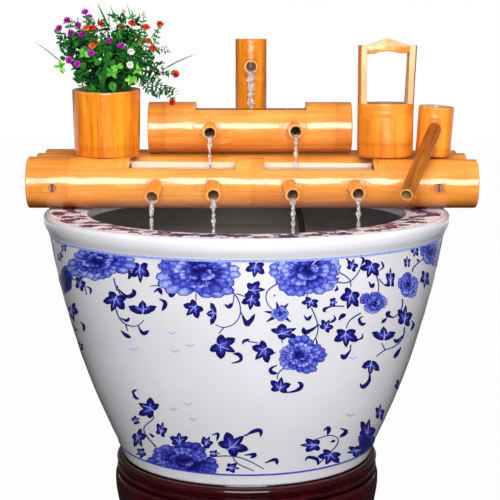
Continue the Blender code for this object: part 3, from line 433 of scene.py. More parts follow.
FIBRES = make_fibre_group()
print("nodes of the fibre group:", len(FIBRES.nodes))


def bamboo_finish(name, light, dark, glow_roughness=0.34, gloss=1.0, bump=1.0, glow=0.3, grain=0.3):
    """Bamboo in its own colours: a sharp uneven gloss, with a soft glow over it from the coat."""
    finish, tree, shader = new_finish(name)
    fibres = tree.nodes.new("ShaderNodeGroup")
    fibres.node_tree = FIBRES
    for socket, value in (
        ("Along", attribute(tree, "along", "Vector")), ("Ring", attribute(tree, "ring")),
        ("Section", attribute(tree, "section")), ("Below", attribute(tree, "below")),
        ("Grain", grain), ("Light", light), ("Dark", dark),
    ):
        feed(tree, fibres.inputs[socket], value)
    tree.links.new(fibres.outputs["Colour"], shader.inputs["Base Color"])
    bumped(tree, shader, fibres.outputs["Height"], bump, 0.0018)
    shader.inputs["Roughness"].default_value = 0.06
    shader.inputs["Specular IOR Level"].default_value = 0.66 * gloss
    shader.inputs["Coat Weight"].default_value = glow
    shader.inputs["Coat Roughness"].default_value = glow_roughness
    shader.inputs["Coat IOR"].default_value = 1.6
    return finish


LACQUER = bamboo_finish(
    "lacquered bamboo", (0.98, 0.400, 0.070), (0.82, 0.255, 0.026), glow=0.42, grain=0.36
)
DEEP_LACQUER = bamboo_finish(
    "deep lacquered bamboo", (0.95, 0.320, 0.016), (0.62, 0.150, 0.006), glow=0.22, grain=0.80
)
PAIL_SKIN = bamboo_finish(
    "pail bamboo", (0.97, 0.345, 0.036), (0.72, 0.200, 0.014), 0.40, 0.45, glow=0.22, grain=0.4
)
PIPE_SKIN = bamboo_finish(
    "old pipe bamboo", (0.52, 0.150, 0.016), (0.07, 0.016, 0.002), 0.30, glow=0.2, grain=1.0
)
# paler than a plain cut: a painted highlight of the glare on the wet back wall of the slots
PAINTED_GLARE_CUT = bamboo_finish("cut bamboo with painted glare", (0.98, 0.84, 0.70), (0.90, 0.66, 0.46), 0.3, 0.6, 0.2)
CUT_FACE = bamboo_finish("cut bamboo", (0.95, 0.60, 0.33), (0.82, 0.44, 0.20), 0.5, 0.3, 0.3)
PIPE_END = bamboo_finish(
    "pipe end of bamboo", (1.0, 0.60, 0.24), (0.88, 0.42, 0.12), 0.45, 0.6, 0.3
)
BORE_FACE = bamboo_finish("bore of bamboo", (0.58, 0.33, 0.19), (0.38, 0.19, 0.10), 0.5, 0.3, 0.4)
print("bamboo finishes:", LACQUER.name, CUT_FACE.name, PIPE_END.name, BORE_FACE.name)

# %% [markdown]
# Porcelain, plastic, rubber and peg wood have no clear direction. A single flat colour would look
# like plastic on all of them, so one function gives each two close colours and a fine grain. The
# stand is varnished dark red wood, and its streaks are drawn out round it, not along the legs.
# %% Plain finishes
def speckled_finish(name, dark, light, roughness, scale, bump, coat=0.0):
    """A moulded or matt surface: slow changes of colour and a fine grain."""
    finish, tree, shader = new_finish(name)
    grain = noise(tree, object_place(tree), scale, 5, 0.6)
    tree.links.new(ramp(tree, grain, (0.35, dark), (0.7, light)), shader.inputs["Base Color"])
    bumped(tree, shader, grain, bump, 0.0003)
    shader.inputs["Roughness"].default_value = roughness
    shader.inputs["Coat Weight"].default_value = coat
    return finish


PEG_WOOD = speckled_finish("peg wood", (0.28, 0.095, 0.05), (0.48, 0.20, 0.11), 0.5, 900, 0.3)
DARK_WEDGE = speckled_finish("wedge wood", (0.10, 0.030, 0.014), (0.20, 0.070, 0.030), 0.6, 900, 0.3)
GLAZE = speckled_finish("white glaze", (0.74, 0.73, 0.77), (0.78, 0.77, 0.81), 0.14, 9, 0.02, 0.6)
# the inside of the bowl: dark grey as painted shade, darker than the glaze itself
PAINTED_SHADE_GLAZE = speckled_finish("grey glaze with painted shade", (0.15, 0.138, 0.130), (0.20, 0.184, 0.175), 0.45, 30, 0.05)
PINK_GROUND = speckled_finish("pink ground", (0.84, 0.74, 0.75), (0.90, 0.82, 0.83), 0.6, 90, 0.05)
PUMP_SKIN = speckled_finish(
    "moulded plastic", (0.012, 0.012, 0.014), (0.03, 0.03, 0.034), 0.45, 700, 0.3
)
PALE_PLASTIC = speckled_finish("pale plastic", (0.66, 0.66, 0.63), (0.76, 0.76, 0.74), 0.4, 500, 0.1)
CERAMIC = speckled_finish("ceramic pin", (0.78, 0.78, 0.74), (0.86, 0.86, 0.83), 0.25, 400, 0.05)
SOFT_RUBBER = speckled_finish(
    "soft rubber", (0.010, 0.010, 0.010), (0.022, 0.022, 0.022), 0.55, 900, 0.3
)
FOAM = speckled_finish("floral foam", (0.03, 0.08, 0.02), (0.09, 0.19, 0.05), 0.95, 1500, 1.0)
hose.data.materials.append(SOFT_RUBBER)


def rosewood_finish():
    """Dark red varnish over streaky wood."""
    finish, tree, shader = new_finish("dark red varnish")
    streaks = noise(tree, object_place(tree), 1.0, 5, 0.6, (30, 30, 260), 0.6)
    colour = ramp(tree, streaks, (0.35, (0.006, 0.0006, 0.001)), (0.68, (0.062, 0.0015, 0.004)))
    tree.links.new(colour, shader.inputs["Base Color"])
    shader.inputs["Roughness"].default_value = 0.4
    shader.inputs["Specular IOR Level"].default_value = 0.06
    shader.inputs["Coat Weight"].default_value = 1.0
    shader.inputs["Coat Roughness"].default_value = 0.09
    return finish


ROSEWOOD = rosewood_finish()
print("plain finishes are ready")

# %% [markdown]
# ## The three culms
#
# A culm could be a bare cylinder, but real ones taper, swell a little at each node and have worn
# ends. So each is a profile with those changes, spun and laid on its side. Its channel, slots,
# spout holes and seats are carved afterwards, as the maker does, and the fresh cuts get the pale
# finish.
# %% Culm measures
CULM_WALL = 0.0068
FRONT_Y = 0.015
FRONT_RADIUS, MIDDLE_RADIUS, BACK_RADIUS = 0.0337, 0.0340, 0.0335
MIDDLE_Y = FRONT_Y + FRONT_RADIUS + GAP + MIDDLE_RADIUS
BACK_Y = MIDDLE_Y + MIDDLE_RADIUS + GAP + BACK_RADIUS
VALLEY_Y = (FRONT_Y + MIDDLE_Y) / 2
FRONT_Z = RIM_Z + GAP + FRONT_RADIUS
MIDDLE_Z = RIM_Z + GAP + MIDDLE_RADIUS
BACK_Z = RIM_Z + GAP + BACK_RADIUS
TROUGH_RADIUS = 0.0355
TROUGH_Z = MIDDLE_Z + MIDDLE_RADIUS + GAP + TROUGH_RADIUS
SEAT_DEPTH = 0.0010
STANDING_Z = min(FRONT_Z + FRONT_RADIUS, MIDDLE_Z + MIDDLE_RADIUS) - SEAT_DEPTH
SEPTUM = 0.007
END_RECESS = 0.045
LIP = 0.0008
FIT = 0.0001
NODE_SWELL, NODE_REACH = 0.00022, 0.005


def culm_profile(length, start_radius, end_radius, rings, recesses, edge=0.0012):
    """Profile of a culm: closed by a septum inside each end, and a slight swell at each node."""
    heights = [edge, 0.006]
    for ring in rings:
        for off in (0.010, 0.0035, 0.0012):
            heights += [ring - off, ring + off]
        heights.append(ring)
    heights += [i * 0.02 for i in range(1, int(length / 0.02))] + [length - 0.006, length - edge]
    heights = sorted(h for h in heights if edge <= h <= length - edge)
    outer = []
    for height in heights:
        radius = start_radius + (end_radius - start_radius) * height / length
        for ring in rings:
            off = (height - ring) / NODE_REACH
            radius += NODE_SWELL * math.exp(-off * off)
        outer.append((radius, height))
    first, last = recesses
    start_bore, end_bore = start_radius - CULM_WALL, end_radius - CULM_WALL
    return [
        (0, first), (start_bore - 0.004, first), (start_bore, first - 0.004),
        (start_bore, LIP), (start_bore + LIP, 0), (start_radius - edge, 0),
        *outer,
        (end_radius - edge, length), (end_bore + LIP, length), (end_bore, length - LIP),
        (end_bore, length - last + 0.004), (end_bore - 0.004, length - last), (0, length - last),
    ]


def keep_values(mesh, name, values):
    """Keep one number for each corner of a mesh."""
    mesh.attributes.new(name, "FLOAT", "POINT").data.foreach_set("value", values)


def mark_culm(piece, centre, way, radius, wall=CULM_WALL, cut=CUT_FACE, skin=LACQUER):
    """Give the skin, the bore and the cuts of a culm their own finishes."""
    centre, way = Vector(centre), Vector(way).normalized()
    for finish in (skin, cut, BORE_FACE):
        piece.data.materials.append(finish)
    # how far each corner faces down, which the fibre group turns into painted shade underneath
    keep_values(piece.data, "below", [max(0.0, -vertex.normal.z) for vertex in piece.data.vertices])
    for face in piece.data.polygons:
        arm = face.center - centre
        arm -= way * arm.dot(way)
        outward = arm.normalized().dot(face.normal) if arm.length > 0.0005 else 0
        if outward > 0.6 and arm.length > radius - 0.55 * wall:
            face.material_index = 0
        elif outward < -0.5 and arm.length < radius - 0.8 * wall:
            face.material_index = 2
        else:
            face.material_index = 1


def level_culm(name, length, x_middle, y, radii, rings, recesses):
    """A culm along X that rests on the rim."""
    start = x_middle - length / 2
    profile = culm_profile(length, *radii, [ring - start for ring in rings], recesses)
    culm = lathe(name, profile, 96)
    store_along(culm, [ring - start for ring in rings])
    lean = math.atan2(radii[0] - radii[1], length)
    foot = RIM_Z + GAP + radii[0]
    settle(culm, Matrix.Translation((start, y, foot)) @ Matrix.Rotation(lean, 4, "Y") @ SIDE_ON)
    return culm


print("crest of the front culm:", round(FRONT_Z + FRONT_RADIUS, 4))

# %% [markdown]
# Seven thin culms carry the water: four leave the front culm, two the trough, one the riser. Each
# could be placed by hand, but the hole, the pipe and the stream must share one line, so the lines
# come first: where each starts on its wall, how far it slopes down and how far it turns aside.
# %% Spout lines
SPOUT_RADIUS, SPOUT_BORE = 0.010, 0.0070
RISER_X, RISER_RADIUS, RISER_WALL = 0.0014, 0.0222, 0.0045
SPOUT_LINES = {
    "front_1": (-0.126, 20.0, -7.0), "front_2": (-0.050, 15.0, 4.0), "front_3": (0.053, 14.0, 7.0),
    "front_4": (0.139, 11.0, 7.0), "trough_1": (-0.055, 10.0, 1.0), "trough_2": (0.061, 5.0, 3.0),
    "top": (RISER_X, 6.0, 0.0),
}
# for each kind: Y and Z of its start, the wall it goes through, and how far it stands out
SPOUT_KINDS = {
    "front": (FRONT_Y - FRONT_RADIUS, FRONT_Z - 0.003, CULM_WALL, 0.027),
    "trough": (MIDDLE_Y - TROUGH_RADIUS, TROUGH_Z, CULM_WALL, 0.020),
    "top": (BACK_Y - RISER_RADIUS, RIM_Z + 0.188, RISER_WALL, 0.010),
}
SPOUTS = {}
for key, (x, slope, turn) in SPOUT_LINES.items():
    y, z = SPOUT_KINDS[key.split("_")[0]][:2]
    slope, turn = math.radians(slope), math.radians(turn)
    level = math.cos(slope)
    way = Vector((level * math.sin(turn), -level * math.cos(turn), -math.sin(slope)))
    SPOUTS[key] = (Vector((x, y, z)), way)


def spout_holes(kind, depth=0.016):
    """Cutters along the lines of all spouts of one kind, a little wider than the spouts."""
    return [
        drum("spout_hole", SPOUT_RADIUS + FIT, root - way * depth, root + way * 0.012)
        for key, (root, way) in SPOUTS.items() if key.startswith(kind)
    ]


print("spout lines:", len(SPOUTS))

# %% [markdown]
# The front culm is the trough that feeds the four spouts. Two long windows open its crest, and a
# channel joins them inside on each side of the node. A real maker saws and chisels them, so here
# they are carved from the spun culm too.
# %% Front culm
FRONT_LENGTH = 0.605
RACK_X = 0.0032
FRONT_RINGS = (-0.243, 0.003, 0.226)
SLOTS = ((-0.162, -0.020), (0.019, 0.166))
SLOT_FRONT, SLOT_BACK = FRONT_Y - 0.0262, FRONT_Y + 0.0215
SLOT_BOTTOM = FRONT_Z + 0.004
CHANNELS = ((-0.236, -0.0005), (0.0105, 0.245))
CHANNEL_RADIUS = 0.0268


def level_bore(name, radius, start, end, y, z):
    """A round cutter along X."""
    return drum(name, radius, (start, y, z), (end, y, z), 64)


front = level_culm(
    "front_culm", FRONT_LENGTH, RACK_X, FRONT_Y, (0.0347, 0.0328), FRONT_RINGS, (0.051, 0.049)
)
for start, end in CHANNELS:
    carve(front, level_bore("channel", CHANNEL_RADIUS, start, end, FRONT_Y, FRONT_Z))
for start, end in SLOTS:
    low, high = (start, SLOT_FRONT, SLOT_BOTTOM), (end, SLOT_BACK, FRONT_Z + 0.05)
    carve(front, block("slot", low, high))
carve(front, *spout_holes("front"))

# %% [markdown]
# The other two culms only carry the rest. The back one is bored out, because the hose comes up
# into it from below and turns along it to the riser, which stands in a socket on its crest.
# %% Middle and back culms
HOSE_INLET_X = 0.064
BACK_BORE_END = 0.240
middle = level_culm(
    "middle_culm", 0.597, 0.0016, MIDDLE_Y, (0.0341, 0.0340), (-0.170, 0.080),
    (END_RECESS, END_RECESS),
)
back = level_culm(
    "back_culm", 0.591, 0.0015, BACK_Y, (0.0340, 0.0330), (-0.120, 0.130), (END_RECESS, END_RECESS)
)
inlet = Vector((HOSE_INLET_X, BACK_Y, RIM_Z))
socket_foot = Vector((RISER_X, BACK_Y, BACK_Z))
carve(
    back,
    level_bore("bore", 0.0267, -BACK_BORE_END, BACK_BORE_END, BACK_Y, BACK_Z),
    drum("hose_inlet", 0.0070, inlet + Vector((0, 0, -0.01)), inlet + Vector((0, 0, 0.015))),
    drum("riser_socket", RISER_RADIUS + GAP, socket_foot, socket_foot + Vector((0, 0, 0.05)), 64),
)
print("back culm faces:", len(back.data.polygons))

# %% [markdown]
# Two dowels run through all three culms, and the pot, the bucket and the cup stand in shallow round
# seats in the valley between the front two. Seats could be skipped, but a round foot on two round
# culms would touch at points only, and the dark line round each foot would be lost.
# %% Dowel holes and seats
DOWEL_X = (RACK_X - FRONT_LENGTH / 2 + 0.0360, RACK_X + FRONT_LENGTH / 2 - 0.0538)
DOWEL_RADIUS = 0.0057
DOWEL_Z = RIM_Z + GAP + min(FRONT_RADIUS, MIDDLE_RADIUS, BACK_RADIUS) - 0.003
for x in DOWEL_X:
    for culm, y in ((front, FRONT_Y), (middle, MIDDLE_Y), (back, BACK_Y)):
        ends = (x, y - 0.05, DOWEL_Z), (x, y + 0.05, DOWEL_Z)
        carve(culm, drum("dowel_hole", DOWEL_RADIUS + FIT, *ends, 32))

POT_RADIUS, POT_TOP_RADIUS = 0.0443, 0.0464
TROUGH_LENGTH = 0.281
POT_X = -TROUGH_LENGTH / 2 - 0.0091 - POT_TOP_RADIUS
BUCKET_RADIUS = 0.0382
BUCKET_X = TROUGH_LENGTH / 2 + 0.0066 + BUCKET_RADIUS
CUP_RADIUS = 0.0240
CUP_X = BUCKET_X + BUCKET_RADIUS + 0.0035 + CUP_RADIUS
CUP_LEAN = Matrix.Rotation(math.radians(3.4), 4, "Y")
POT_PLACE, BUCKET_PLACE, CUP_PLACE = (
    Matrix.Translation((x, VALLEY_Y, STANDING_Z)) for x in (POT_X, BUCKET_X, CUP_X)
)
CUP_PLACE = CUP_PLACE @ CUP_LEAN
SEATS = ((POT_PLACE, POT_RADIUS), (BUCKET_PLACE, BUCKET_RADIUS), (CUP_PLACE, CUP_RADIUS))
for culm in (front, middle):
    for place, radius in SEATS:
        seat_top = place @ Vector((0, 0, 0.03))
        carve(culm, drum("seat", radius + 2 * FIT, place.translation, seat_top, 96))

CULMS = (
    (front, FRONT_Y, FRONT_Z, FRONT_RADIUS, "front_tube"),
    (middle, MIDDLE_Y, MIDDLE_Z, MIDDLE_RADIUS, "middle_tube"),
    (back, BACK_Y, BACK_Z, BACK_RADIUS, "back_tube"),
)
for culm, y, z, radius, _ in CULMS:
    mark_culm(culm, (0, y, z), (1, 0, 0), radius)
# the back side of each slot faces the camera, and the falling water keeps it wet; it is pale like a
# cut and paler still, as painted glare
front.data.materials.append(PAINTED_GLARE_CUT)
for face in front.data.polygons:
    if face.normal.y < -0.9 and abs(face.center.y - SLOT_BACK) < 0.0005:
        face.material_index = 3
for culm, *_, node in CULMS:
    finish_piece(culm, "rack", "bamboo", node)
print("front culm faces:", len(front.data.polygons))

# %% [markdown]
# ## Spouts and pipes
#
# Each spout is a thin culm cut at both ends, so it is spun like the big ones. The long pipe that
# leans from the cup is made the same way, from older and darker bamboo.
# %% Spouts
def pipe(name, start, way, length, outer, bore, replaced, lip=0.0006, skin=LACQUER):
    """A thin bamboo pipe with softened ends."""
    profile = [
        (bore, 0), (bore, length - lip), (bore + lip, length), (outer - lip, length),
        (outer, length - lip), (outer * 1.01, length * 0.6), (outer * 0.99, length * 0.3),
        (outer, lip), (outer - lip, 0), (bore, 0),
    ]
    piece = lathe(name, profile, 48)
    store_along(piece)
    turn = Vector(way).to_track_quat("Z", "Y").to_matrix().to_4x4()
    settle(piece, Matrix.Translation(start) @ turn)
    mark_culm(piece, start, way, outer, outer - bore, PIPE_END, skin)
    finish_piece(piece, "rack", "bamboo", replaced)


SPOUT_ENDS = {}
for key, (root, way) in SPOUTS.items():
    kind = key.split("_")[0]
    wall, reach = SPOUT_KINDS[kind][2:]
    tail = wall + 0.004
    name = key.replace(kind, f"{kind}_pipe")
    replaced = name.replace("pipe", "spout")
    pipe(name, root - way * tail, way, tail + reach, SPOUT_RADIUS, SPOUT_BORE, replaced)
    SPOUT_ENDS[key] = (root + way * reach, way)

PIPE_RUN = Vector((-0.049, -0.123, -0.072))
PIPE_SHIFT = -0.0045
PIPE_RADIUS, PIPE_BORE = 0.0095, 0.0063
PIPE_TAIL = 0.006
pipe_way = PIPE_RUN.normalized()
pipe_root = CUP_PLACE @ Vector((PIPE_SHIFT, -math.sqrt(CUP_RADIUS**2 - PIPE_SHIFT**2), 0.036))
pipe(
    "sloping_pipe", pipe_root - pipe_way * PIPE_TAIL, pipe_way, PIPE_TAIL + PIPE_RUN.length,
    PIPE_RADIUS, PIPE_BORE, "long_pipe", skin=PIPE_SKIN,
)
print("spouts:", ", ".join(SPOUT_ENDS))

# %% [markdown]
# ## Upper trough and riser
#
# The trough is a short culm with its crest sawn out between two low walls. It takes the riser's
# water and gives it to the slots of the front culm through two spouts. It is spun and carved as
# the long culms are, so that its ends and nodes look the same.
# %% Trough
TROUGH_RINGS = (-0.118, 0.118)
TROUGH_CHANNEL_END = 0.1145
TROUGH_CUT = (-0.075, 0.077)
TROUGH_CUT_DEPTH = 0.0097
trough_start = -TROUGH_LENGTH / 2
trough_rings = [ring - trough_start for ring in TROUGH_RINGS]
trough_profile = culm_profile(TROUGH_LENGTH, 0.0357, 0.0354, trough_rings, (0.018, 0.018))
trough = lathe("trough", trough_profile, 96)
store_along(trough, trough_rings)
settle(trough, Matrix.Translation((trough_start, MIDDLE_Y, TROUGH_Z)) @ SIDE_ON)
trough_crest = TROUGH_Z + TROUGH_RADIUS
channel = -TROUGH_CHANNEL_END, TROUGH_CHANNEL_END, MIDDLE_Y, TROUGH_Z
carve(trough, level_bore("channel", 0.0287, *channel))
cut_low = (TROUGH_CUT[0], MIDDLE_Y - 0.05, trough_crest - TROUGH_CUT_DEPTH)
carve(trough, block("cut_out", cut_low, (TROUGH_CUT[1], MIDDLE_Y + 0.05, trough_crest + 0.02)))
carve(trough, *spout_holes("trough"))
mark_culm(trough, (0, MIDDLE_Y, TROUGH_Z), (1, 0, 0), TROUGH_RADIUS)
finish_piece(trough, "rack", "bamboo", "upper_trough")
print("trough faces:", len(trough.data.polygons))

# %% [markdown]
# The riser is an upright culm with a node inside. The hose ends in the node's hole, and the water
# stands above it up to the top spout. Its profile has the node's floor in it, so nothing has to be
# carved but the spout's hole.
# %% Riser
RISER_BOTTOM = BACK_Z + BACK_RADIUS - CULM_WALL - 0.009
RISER_HEIGHT = RIM_Z + 0.226 - RISER_BOTTOM
HOSE_HOLE = 0.0045
riser_node = RIM_Z + 0.150 - RISER_BOTTOM
riser_bore = RISER_RADIUS - RISER_WALL
rise_ring = RIM_Z + 0.163 - RISER_BOTTOM
riser_profile = [
    (riser_bore, 0), (riser_bore, riser_node), (HOSE_HOLE, riser_node),
    (HOSE_HOLE, riser_node + SEPTUM), (riser_bore - 0.004, riser_node + SEPTUM),
    (riser_bore, riser_node + SEPTUM + 0.004), (riser_bore, RISER_HEIGHT - LIP),
    (riser_bore + LIP, RISER_HEIGHT), (RISER_RADIUS - LIP, RISER_HEIGHT),
    (RISER_RADIUS, RISER_HEIGHT - LIP), (RISER_RADIUS * 0.995, RISER_HEIGHT * 0.8),
    (RISER_RADIUS, rise_ring + 0.006), (RISER_RADIUS + 0.0002, rise_ring),
    (RISER_RADIUS, rise_ring - 0.006), (RISER_RADIUS * 0.992, 0.05), (RISER_RADIUS, 0),
    (riser_bore, 0),
]
riser = lathe("upright_culm", riser_profile, 96)
store_along(riser, (rise_ring,))
settle(riser, Matrix.Translation((RISER_X, BACK_Y, RISER_BOTTOM)))
carve(riser, *spout_holes("top", 0.012))
mark_culm(riser, (RISER_X, BACK_Y, 0), (0, 0, 1), RISER_RADIUS, RISER_WALL, skin=DEEP_LACQUER)
finish_piece(riser, "rack", "bamboo", "riser")
print("riser top:", round(RISER_BOTTOM + RISER_HEIGHT, 4))

# %% [markdown]
# ## Flower pot, bucket and cup
#
# Each is one length of culm, sawn off just below a node so that the node is its floor. Lips that
# are used get rounded, and rounded lips are what catches the light, so the profile has them.
# %% Pot
POT_HEIGHT = 0.092
POT_WALL = 0.0070


def vessel(name, foot, mouth, wall, height, floor, ring, place, slant=0.0):
    """A culm cut off below a node, which is its floor; its mouth may be sawn lower in front."""
    outer = []
    heights = {0.006, height * 0.35, height * 0.6, height * 0.85, height - 0.0025, height - 0.0009}
    for level in sorted(heights | {ring + off for off in (-0.005, -0.0012, 0, 0.0012, 0.005)}):
        swell = 0.00015 if abs(level - ring) < 0.0015 else 0
        outer.append((foot + (mouth - foot) * level / height + swell, level))
    bore = mouth - wall
    profile = [
        (0, 0), (foot - 0.0042, 0), (foot - 0.0016, 0.0009), (foot - 0.0004, 0.0028), *outer,
        (mouth - 0.00026, height - 0.00026), (mouth - 0.0009, height), (bore + 0.0009, height),
        (bore + 0.00026, height - 0.00026), (bore, height - 0.0009), (foot - wall, floor + 0.004),
        (foot - wall - 0.004, floor), (0, floor),
    ]
    piece = lathe(name, profile, 96)
    for corner in piece.data.vertices:
        near_mouth = max(0.0, corner.co.z / height - 0.7) / 0.3
        corner.co.z += slant * near_mouth * corner.co.y / mouth
    store_along(piece, (ring,))
    settle(piece, place)
    return piece


pot = vessel(
    "pot", POT_RADIUS, POT_TOP_RADIUS, POT_WALL, POT_HEIGHT, 0.010, 0.016, POT_PLACE, slant=0.0032
)
mark_culm(pot, POT_PLACE.translation, (0, 0, 1), POT_RADIUS, POT_WALL, skin=DEEP_LACQUER)
finish_piece(pot, "rack", "bamboo", "flower_pot")
print("pot faces:", len(pot.data.polygons))

# %% [markdown]
# The bucket is cut from one taller culm: two staves are left standing on its mouth as uprights. So
# the whole height is spun first, and then the front and the back are sawn away down to the mouth.
# %% Bucket
BUCKET_WALL = 0.0070
BUCKET_MOUTH = 0.0735
UPRIGHT = 0.078
HALF_UPRIGHT = 0.0157
BUCKET_SPREAD = 0.0035
pail = vessel(
    "pail", BUCKET_RADIUS, BUCKET_RADIUS, BUCKET_WALL, BUCKET_MOUTH + UPRIGHT, 0.010, 0.020,
    BUCKET_PLACE,
)
mouth = STANDING_Z + BUCKET_MOUTH
for low_y, high_y in ((-0.06, -HALF_UPRIGHT), (HALF_UPRIGHT, 0.06)):
    low = (BUCKET_X - 0.06, VALLEY_Y + low_y, mouth)
    carve(pail, block("side_cut", low, (BUCKET_X + 0.06, VALLEY_Y + high_y, mouth + 0.1)))
for corner in pail.data.vertices:
    rise = (corner.co.z - mouth) / UPRIGHT
    if rise > 0 and corner.co.x > BUCKET_X:
        corner.co.x += BUCKET_SPREAD * rise
mark_culm(pail, BUCKET_PLACE.translation, (0, 0, 1), BUCKET_RADIUS, BUCKET_WALL, skin=PAIL_SKIN)
finish_piece(pail, "bucket", "bamboo", "bucket")
print("pail faces:", len(pail.data.polygons))

# %% [markdown]
# The bar between the uprights is sawn from a flat strip, with a peaked back and a hollow belly. A
# bent box would do, but the outline itself is the shape, so it is drawn, filled and pulled back.
# %% Bucket handle bar
BAR_DEPTH = 0.012
# height on the bar above which its front is painted pale as a highlight
BAR_HIGHLIGHT_LINE = 0.0104
BAR_HALF = 0.0298
bar_low = mouth + 0.066
bar_outline = [
    (-BAR_HALF, 0.0), (-0.55 * BAR_HALF, 0.0005), (-0.35 * BAR_HALF, 0.0028), (0, 0.0042),
    (0.35 * BAR_HALF, 0.0032), (0.55 * BAR_HALF, 0.0014), (BAR_HALF + 0.0030, 0.0014),
    (BAR_HALF + 0.0032, 0.011), (0.30 * BAR_HALF, 0.0195), (0.15 * BAR_HALF, 0.0206), (0, 0.0208),
    (-0.15 * BAR_HALF, 0.0198), (-BAR_HALF, 0.0098),
]


def slab(name, outline, depth, bevel, clamp=False):
    """Draw a closed outline (x, z), fill it, pull it back along Y and round its edges."""
    piece = drawn(name, [*outline, outline[0]])
    bpy.ops.mesh.remove_doubles(threshold=0.00005)
    bpy.ops.mesh.select_all(action="SELECT")
    bpy.ops.mesh.edge_face_add()
    bpy.ops.mesh.extrude_region_move(TRANSFORM_OT_translate={"value": (0, depth, 0)})
    bpy.ops.mesh.select_all(action="SELECT")
    bpy.ops.mesh.normals_make_consistent(inside=False)
    bpy.ops.mesh.bevel(offset=bevel, segments=2, affect="EDGES", clamp_overlap=clamp)
    bpy.ops.object.mode_set(mode="OBJECT")
    return piece


def split_bar():
    """Cut a line of edges across the bar, where its painted highlight begins."""
    bpy.ops.mesh.bisect(plane_co=(0, 0, BAR_HIGHLIGHT_LINE), plane_no=(0, 0, 1))


bar = slab("handle_bar", bar_outline, BAR_DEPTH, 0.0008)
edited(bar, split_bar)
store_along(bar)
settle(bar, Matrix.Translation((BUCKET_X, VALLEY_Y - BAR_DEPTH / 2, bar_low)))
bar.data.materials.append(LACQUER)
bar.data.materials.append(CUT_FACE)
# the upward faces are sawn cuts, and they and the front above the line get the pale cut finish; on
# the front it is a painted highlight of the light on the top
for face in bar.data.polygons:
    highlit = face.normal.z > 0.3 or face.center.z > bar_low + BAR_HIGHLIGHT_LINE
    face.material_index = 1 if highlit else 0
finish_piece(bar, "bucket", "bamboo", "bucket_crossbar", angle=25)
print("bar faces:", len(bar.data.polygons))

# %% [markdown]
# The cup is the same vessel once more, thinner and leaning. Its hole takes the end of the long
# pipe, and follows the pipe's line so that the pipe fits it without a gap.
# %% Cup
CUP_WALL = 0.0035
CUP_HEIGHT = 0.069
cup = vessel(
    "cup", CUP_RADIUS, CUP_RADIUS, CUP_WALL, CUP_HEIGHT, 0.008, 0.012, CUP_PLACE, slant=0.0014
)
hole_ends = pipe_root - pipe_way * 0.012, pipe_root + pipe_way * 0.02
carve(cup, drum("pipe_hole", PIPE_RADIUS + FIT, *hole_ends))
cup_way = CUP_PLACE.to_3x3() @ Vector((0, 0, 1))
mark_culm(cup, CUP_PLACE.translation, cup_way, CUP_RADIUS, CUP_WALL, skin=PAIL_SKIN)
finish_piece(cup, "rack", "bamboo", "water_cup")
print("cup faces:", len(cup.data.polygons))

# %% [markdown]
# Pegs, wedges and the foam in the pot are small or hidden, and the frame's own shapes are good
# enough for them. They keep those shapes and only get a finish.
# %% Pegs and wedges
def dress_nodes(finish, *names):
    """Give pieces of the frame a finish."""
    for name in names:
        nodes[name].material_slots[0].material = finish


dress_nodes(PEG_WOOD, "tie_dowel_left", "tie_dowel_right", "trough_peg_1", "trough_peg_2")
for end in ("front", "back"):
    dress_nodes(DARK_WEDGE, f"wedge_{end}_left", f"wedge_{end}_right")
dress_nodes(FOAM, "foam_block")
print("pegs, wedges and foam keep the frame's shapes")

# %% [markdown]
# ## Porcelain bowl
#
# The bowl is one turned shell with a rolled lip. Outside it is white, the flat rim has a pink ground
# and the inside is dark grey, darker than its glaze, as painted shade for the deep shade in the bowl.
# A smooth curve through a few measured radii keeps its side free of corners.
# %% Bowl
RIM_INNER = 0.2120
RIM_DROP = 0.0017
RIM_FLAT_INNER = 0.234
RIM_SLOPE_END = 0.2165
BOWL_FOOT_Z = STAND_TOP + GAP
BOWL_SIDE = (
    (0.2660, 0.3310), (0.2688, 0.3301), (0.2705, 0.3280), (0.2712, 0.3248), (0.2708, 0.3205),
    (0.2695, 0.3155), (0.2672, 0.3110), (0.2648, 0.3068), (0.2634, 0.3035), (0.2626, 0.2990),
    (0.2606, 0.2880), (0.2580, 0.2720), (0.2550, 0.2560), (0.2505, 0.2350), (0.2450, 0.2120),
    (0.2385, 0.1880), (0.2310, 0.1610), (0.2235, 0.1360), (0.2150, 0.1110), (0.2060, 0.0870),
    (0.1970, 0.0650), (0.1880, 0.0440), (0.1805, 0.0270), (0.1755, 0.0150), (0.1725, 0.0070),
    (0.1712, 0.0030), (0.1700, 0.0008), (0.1690, 0.0000),
)
BOWL_INSIDE = (
    (0.2510, 0.3135), (0.2520, 0.3060), (0.2515, 0.2960), (0.2475, 0.2700), (0.2415, 0.2400),
    (0.2340, 0.2100), (0.2250, 0.1800), (0.2130, 0.1400), (0.2000, 0.1000), (0.1860, 0.0650),
    (0.1750, 0.0400), (0.1660, 0.0250), (0.1500, 0.0155), (0.1300, 0.0140),
)
side_line = smooth_line([(r, 0, z) for r, z in BOWL_SIDE], 3)
inside_line = smooth_line([(r, 0, z) for r, z in BOWL_INSIDE], 3)
bowl_profile = [
    (0, 0.006), (0.155, 0.006), (0.157, 0.005), (0.157, 0.0008), (0.1578, 0),
    *((p.x, p.z) for p in reversed(side_line)),
    (0.2550, BOWL_HEIGHT), (RIM_FLAT_INNER, BOWL_HEIGHT), (0.2250, BOWL_HEIGHT - 0.5 * RIM_DROP),
    (RIM_SLOPE_END, BOWL_HEIGHT - RIM_DROP), (0.2138, 0.3284), (0.2124, 0.3268),
    (RIM_INNER, 0.3250), (RIM_INNER, 0.3195), (0.2128, 0.3175), (0.2150, 0.3162),
    (0.2300, 0.3160), (0.2460, 0.3160),
    *((p.x, p.z) for p in inside_line),
    (0, 0.0140),
]
bowl = lathe("porcelain_bowl", bowl_profile, 224)
